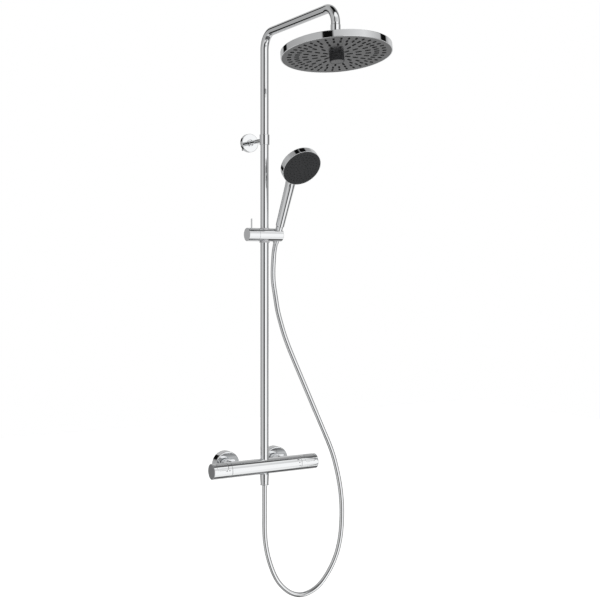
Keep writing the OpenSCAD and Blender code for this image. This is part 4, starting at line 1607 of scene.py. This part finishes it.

# %% [markdown]
# ## Handset's handle
# The handset is a slim, slightly tapered handle that flows into the back of a round head.
# Two primitives joined with a boolean would meet in a hard line. The handle is swept
# instead, with a section that widens sideways and flattens as it bends into the head, which
# is how the one-piece casting looks. A dark washer shows as a line at its foot; its near
# black is also painted shade for the gap between the nut and the handle.

# %% Handle
PATH_STEP = 0.002
HANDLE_SIDES = 96
HANDLE_STATIONS = [
    (0, 27.6, 11.2, 11.2), (0, 28.0, 11.5, 11.5), (0, 29.2, 11.6, 11.6), (0, 60, 11.9, 11.9),
    (0, 90, 12.3, 12.3), (0, 120, 12.7, 12.7), (0, 142, 13.0, 13.0), (0.3, 154, 13.6, 13.0),
    (-1.2, 164, 15.2, 12.4), (-4.6, 174, 17.6, 11.4), (-9.4, 184, 20.0, 10.4),
    (-15.2, 194, 21.5, 9.0),
]


def handle_sweep():
    """The handle, from stations of (offset, place along it, half width, half depth) in mm."""
    spots = [holder_centre + (across_holder * y + holder_axis * z) * MM
             for y, z, _, _ in HANDLE_STATIONS]
    fine = smooth_path(spots, PATH_STEP)
    bm = new_mesh()
    lengths = [0.0]
    for a, b in zip(spots, spots[1:]):
        lengths.append(lengths[-1] + (b - a).length)
    sides_at = [s[2] for s in HANDLE_STATIONS]
    depths_at = [s[3] for s in HANDLE_STATIONS]
    travelled = 0.0
    rings = []
    for i, point in enumerate(fine):
        travelled += (point - fine[i - 1]).length if i else 0
        ahead = (fine[min(i + 1, len(fine) - 1)] - fine[max(i - 1, 0)]).normalized()
        half_width = float(np.interp(travelled, lengths, sides_at)) * MM
        half_depth = float(np.interp(travelled, lengths, depths_at)) * MM
        sideways = Vector((1, 0, 0))
        other = ahead.cross(sideways)
        ring = []
        for k in range(HANDLE_SIDES):
            a = 2 * math.pi * k / HANDLE_SIDES
            offset = sideways * half_width * math.cos(a) + other * half_depth * math.sin(a)
            ring.append(bm.verts.new(point + offset))
        rings.append(ring)
    for ring, other_ring in zip(rings, rings[1:]):
        bridge(bm, ring, other_ring)
    bm.faces.new(list(reversed(rings[0])))
    bm.faces.new(rings[-1])
    return bm


piece(handle_sweep(), "handset_grip", "handset", "chrome", "handset_handle")
# The washer is near black, as painted shade for the gap between the cone nut and the handle.
washer = new_mesh()
lathe(washer, in_holder, [(8.5, 27.1), (11.1, 27.1, 0.2), (11.1, 27.7, 0.1), (8.5, 27.7)], 96)
piece(washer, "handset_washer_shade", "handset", "seal_rubber")
print("handle stations:", len(HANDLE_STATIONS))

# %% [markdown]
# ## Handset's head
# The head is a chromed casing whose edge ends in a narrow bright lip round a dark,
# fine-grained spray face. Four rings of small rubber jets stand in it. The casing and the
# face are turned about the face's own axis, and the jets are turned one by one.

# %% Casing, face and jets
SHOWER_R = 52.5
LIP = 1.1
JET_RINGS = [(17, 8), (25, 14), (33, 20), (41, 28)]
turned("shower_casing", "handset", "chrome", "handset_shell", on_face,
       [(SHOWER_R - LIP, 5), (SHOWER_R - LIP, 0.3, 0.15), (SHOWER_R, 0.3, 0.35),
        (SHOWER_R, 18, 2.2), (34, 28, 4.0), (0, 28)], sides=224)
shower_face = new_mesh()
lathe(shower_face, on_face, [(0, 0.6), (11, 0.6, 0.3), (11.5, 0.95, 0.2), (12, 0.6, 0.3),
                             (SHOWER_R - LIP, 0.6, 0.2), (SHOWER_R - LIP, 3.4)], 192)
piece(shower_face, "shower_face", "handset", "graphite_face", "handset_face")
jets = new_mesh()
for ring_radius, count in JET_RINGS:
    for i in range(count):
        spin = on_face @ Matrix.Rotation(2 * math.pi * i / count, 4, "Z")
        at_jet = spin @ Matrix.Translation(Vector((ring_radius, 0, 0)) * MM)
        lathe(jets, at_jet, [(1.3, 0.8), (0.85, 0.1, 0.15), (0.4, 0.1), (0.35, 0.7), (0, 0.7)], 12)
piece(jets, "shower_jets", "handset", "nozzle_rubber", "handset_nozzles")
print(sum(count for _, count in JET_RINGS), "jets")

# %% [markdown]
# ## Finishes for the CAD's own pieces
# Screws, seals, cartridges and other inner pieces are hidden or nearly so, and keep their
# CAD shapes. Modelling them again would add nothing, but a bare skin would still look wrong
# through a gap, so each takes the finish that the record gives its node.

# %% Inner pieces
slot_of = {part["node"]: part["material_slot"] for part in frame["record"]["subparts"]}
kept = 0
for obj in bpy.context.scene.objects:
    node = obj.get("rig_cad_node")
    if node and not obj.hide_render:
        obj.data.materials.clear()
        obj.data.materials.append(material_named(slot_of[node]))
        kept += 1
print(kept, "CAD pieces kept")
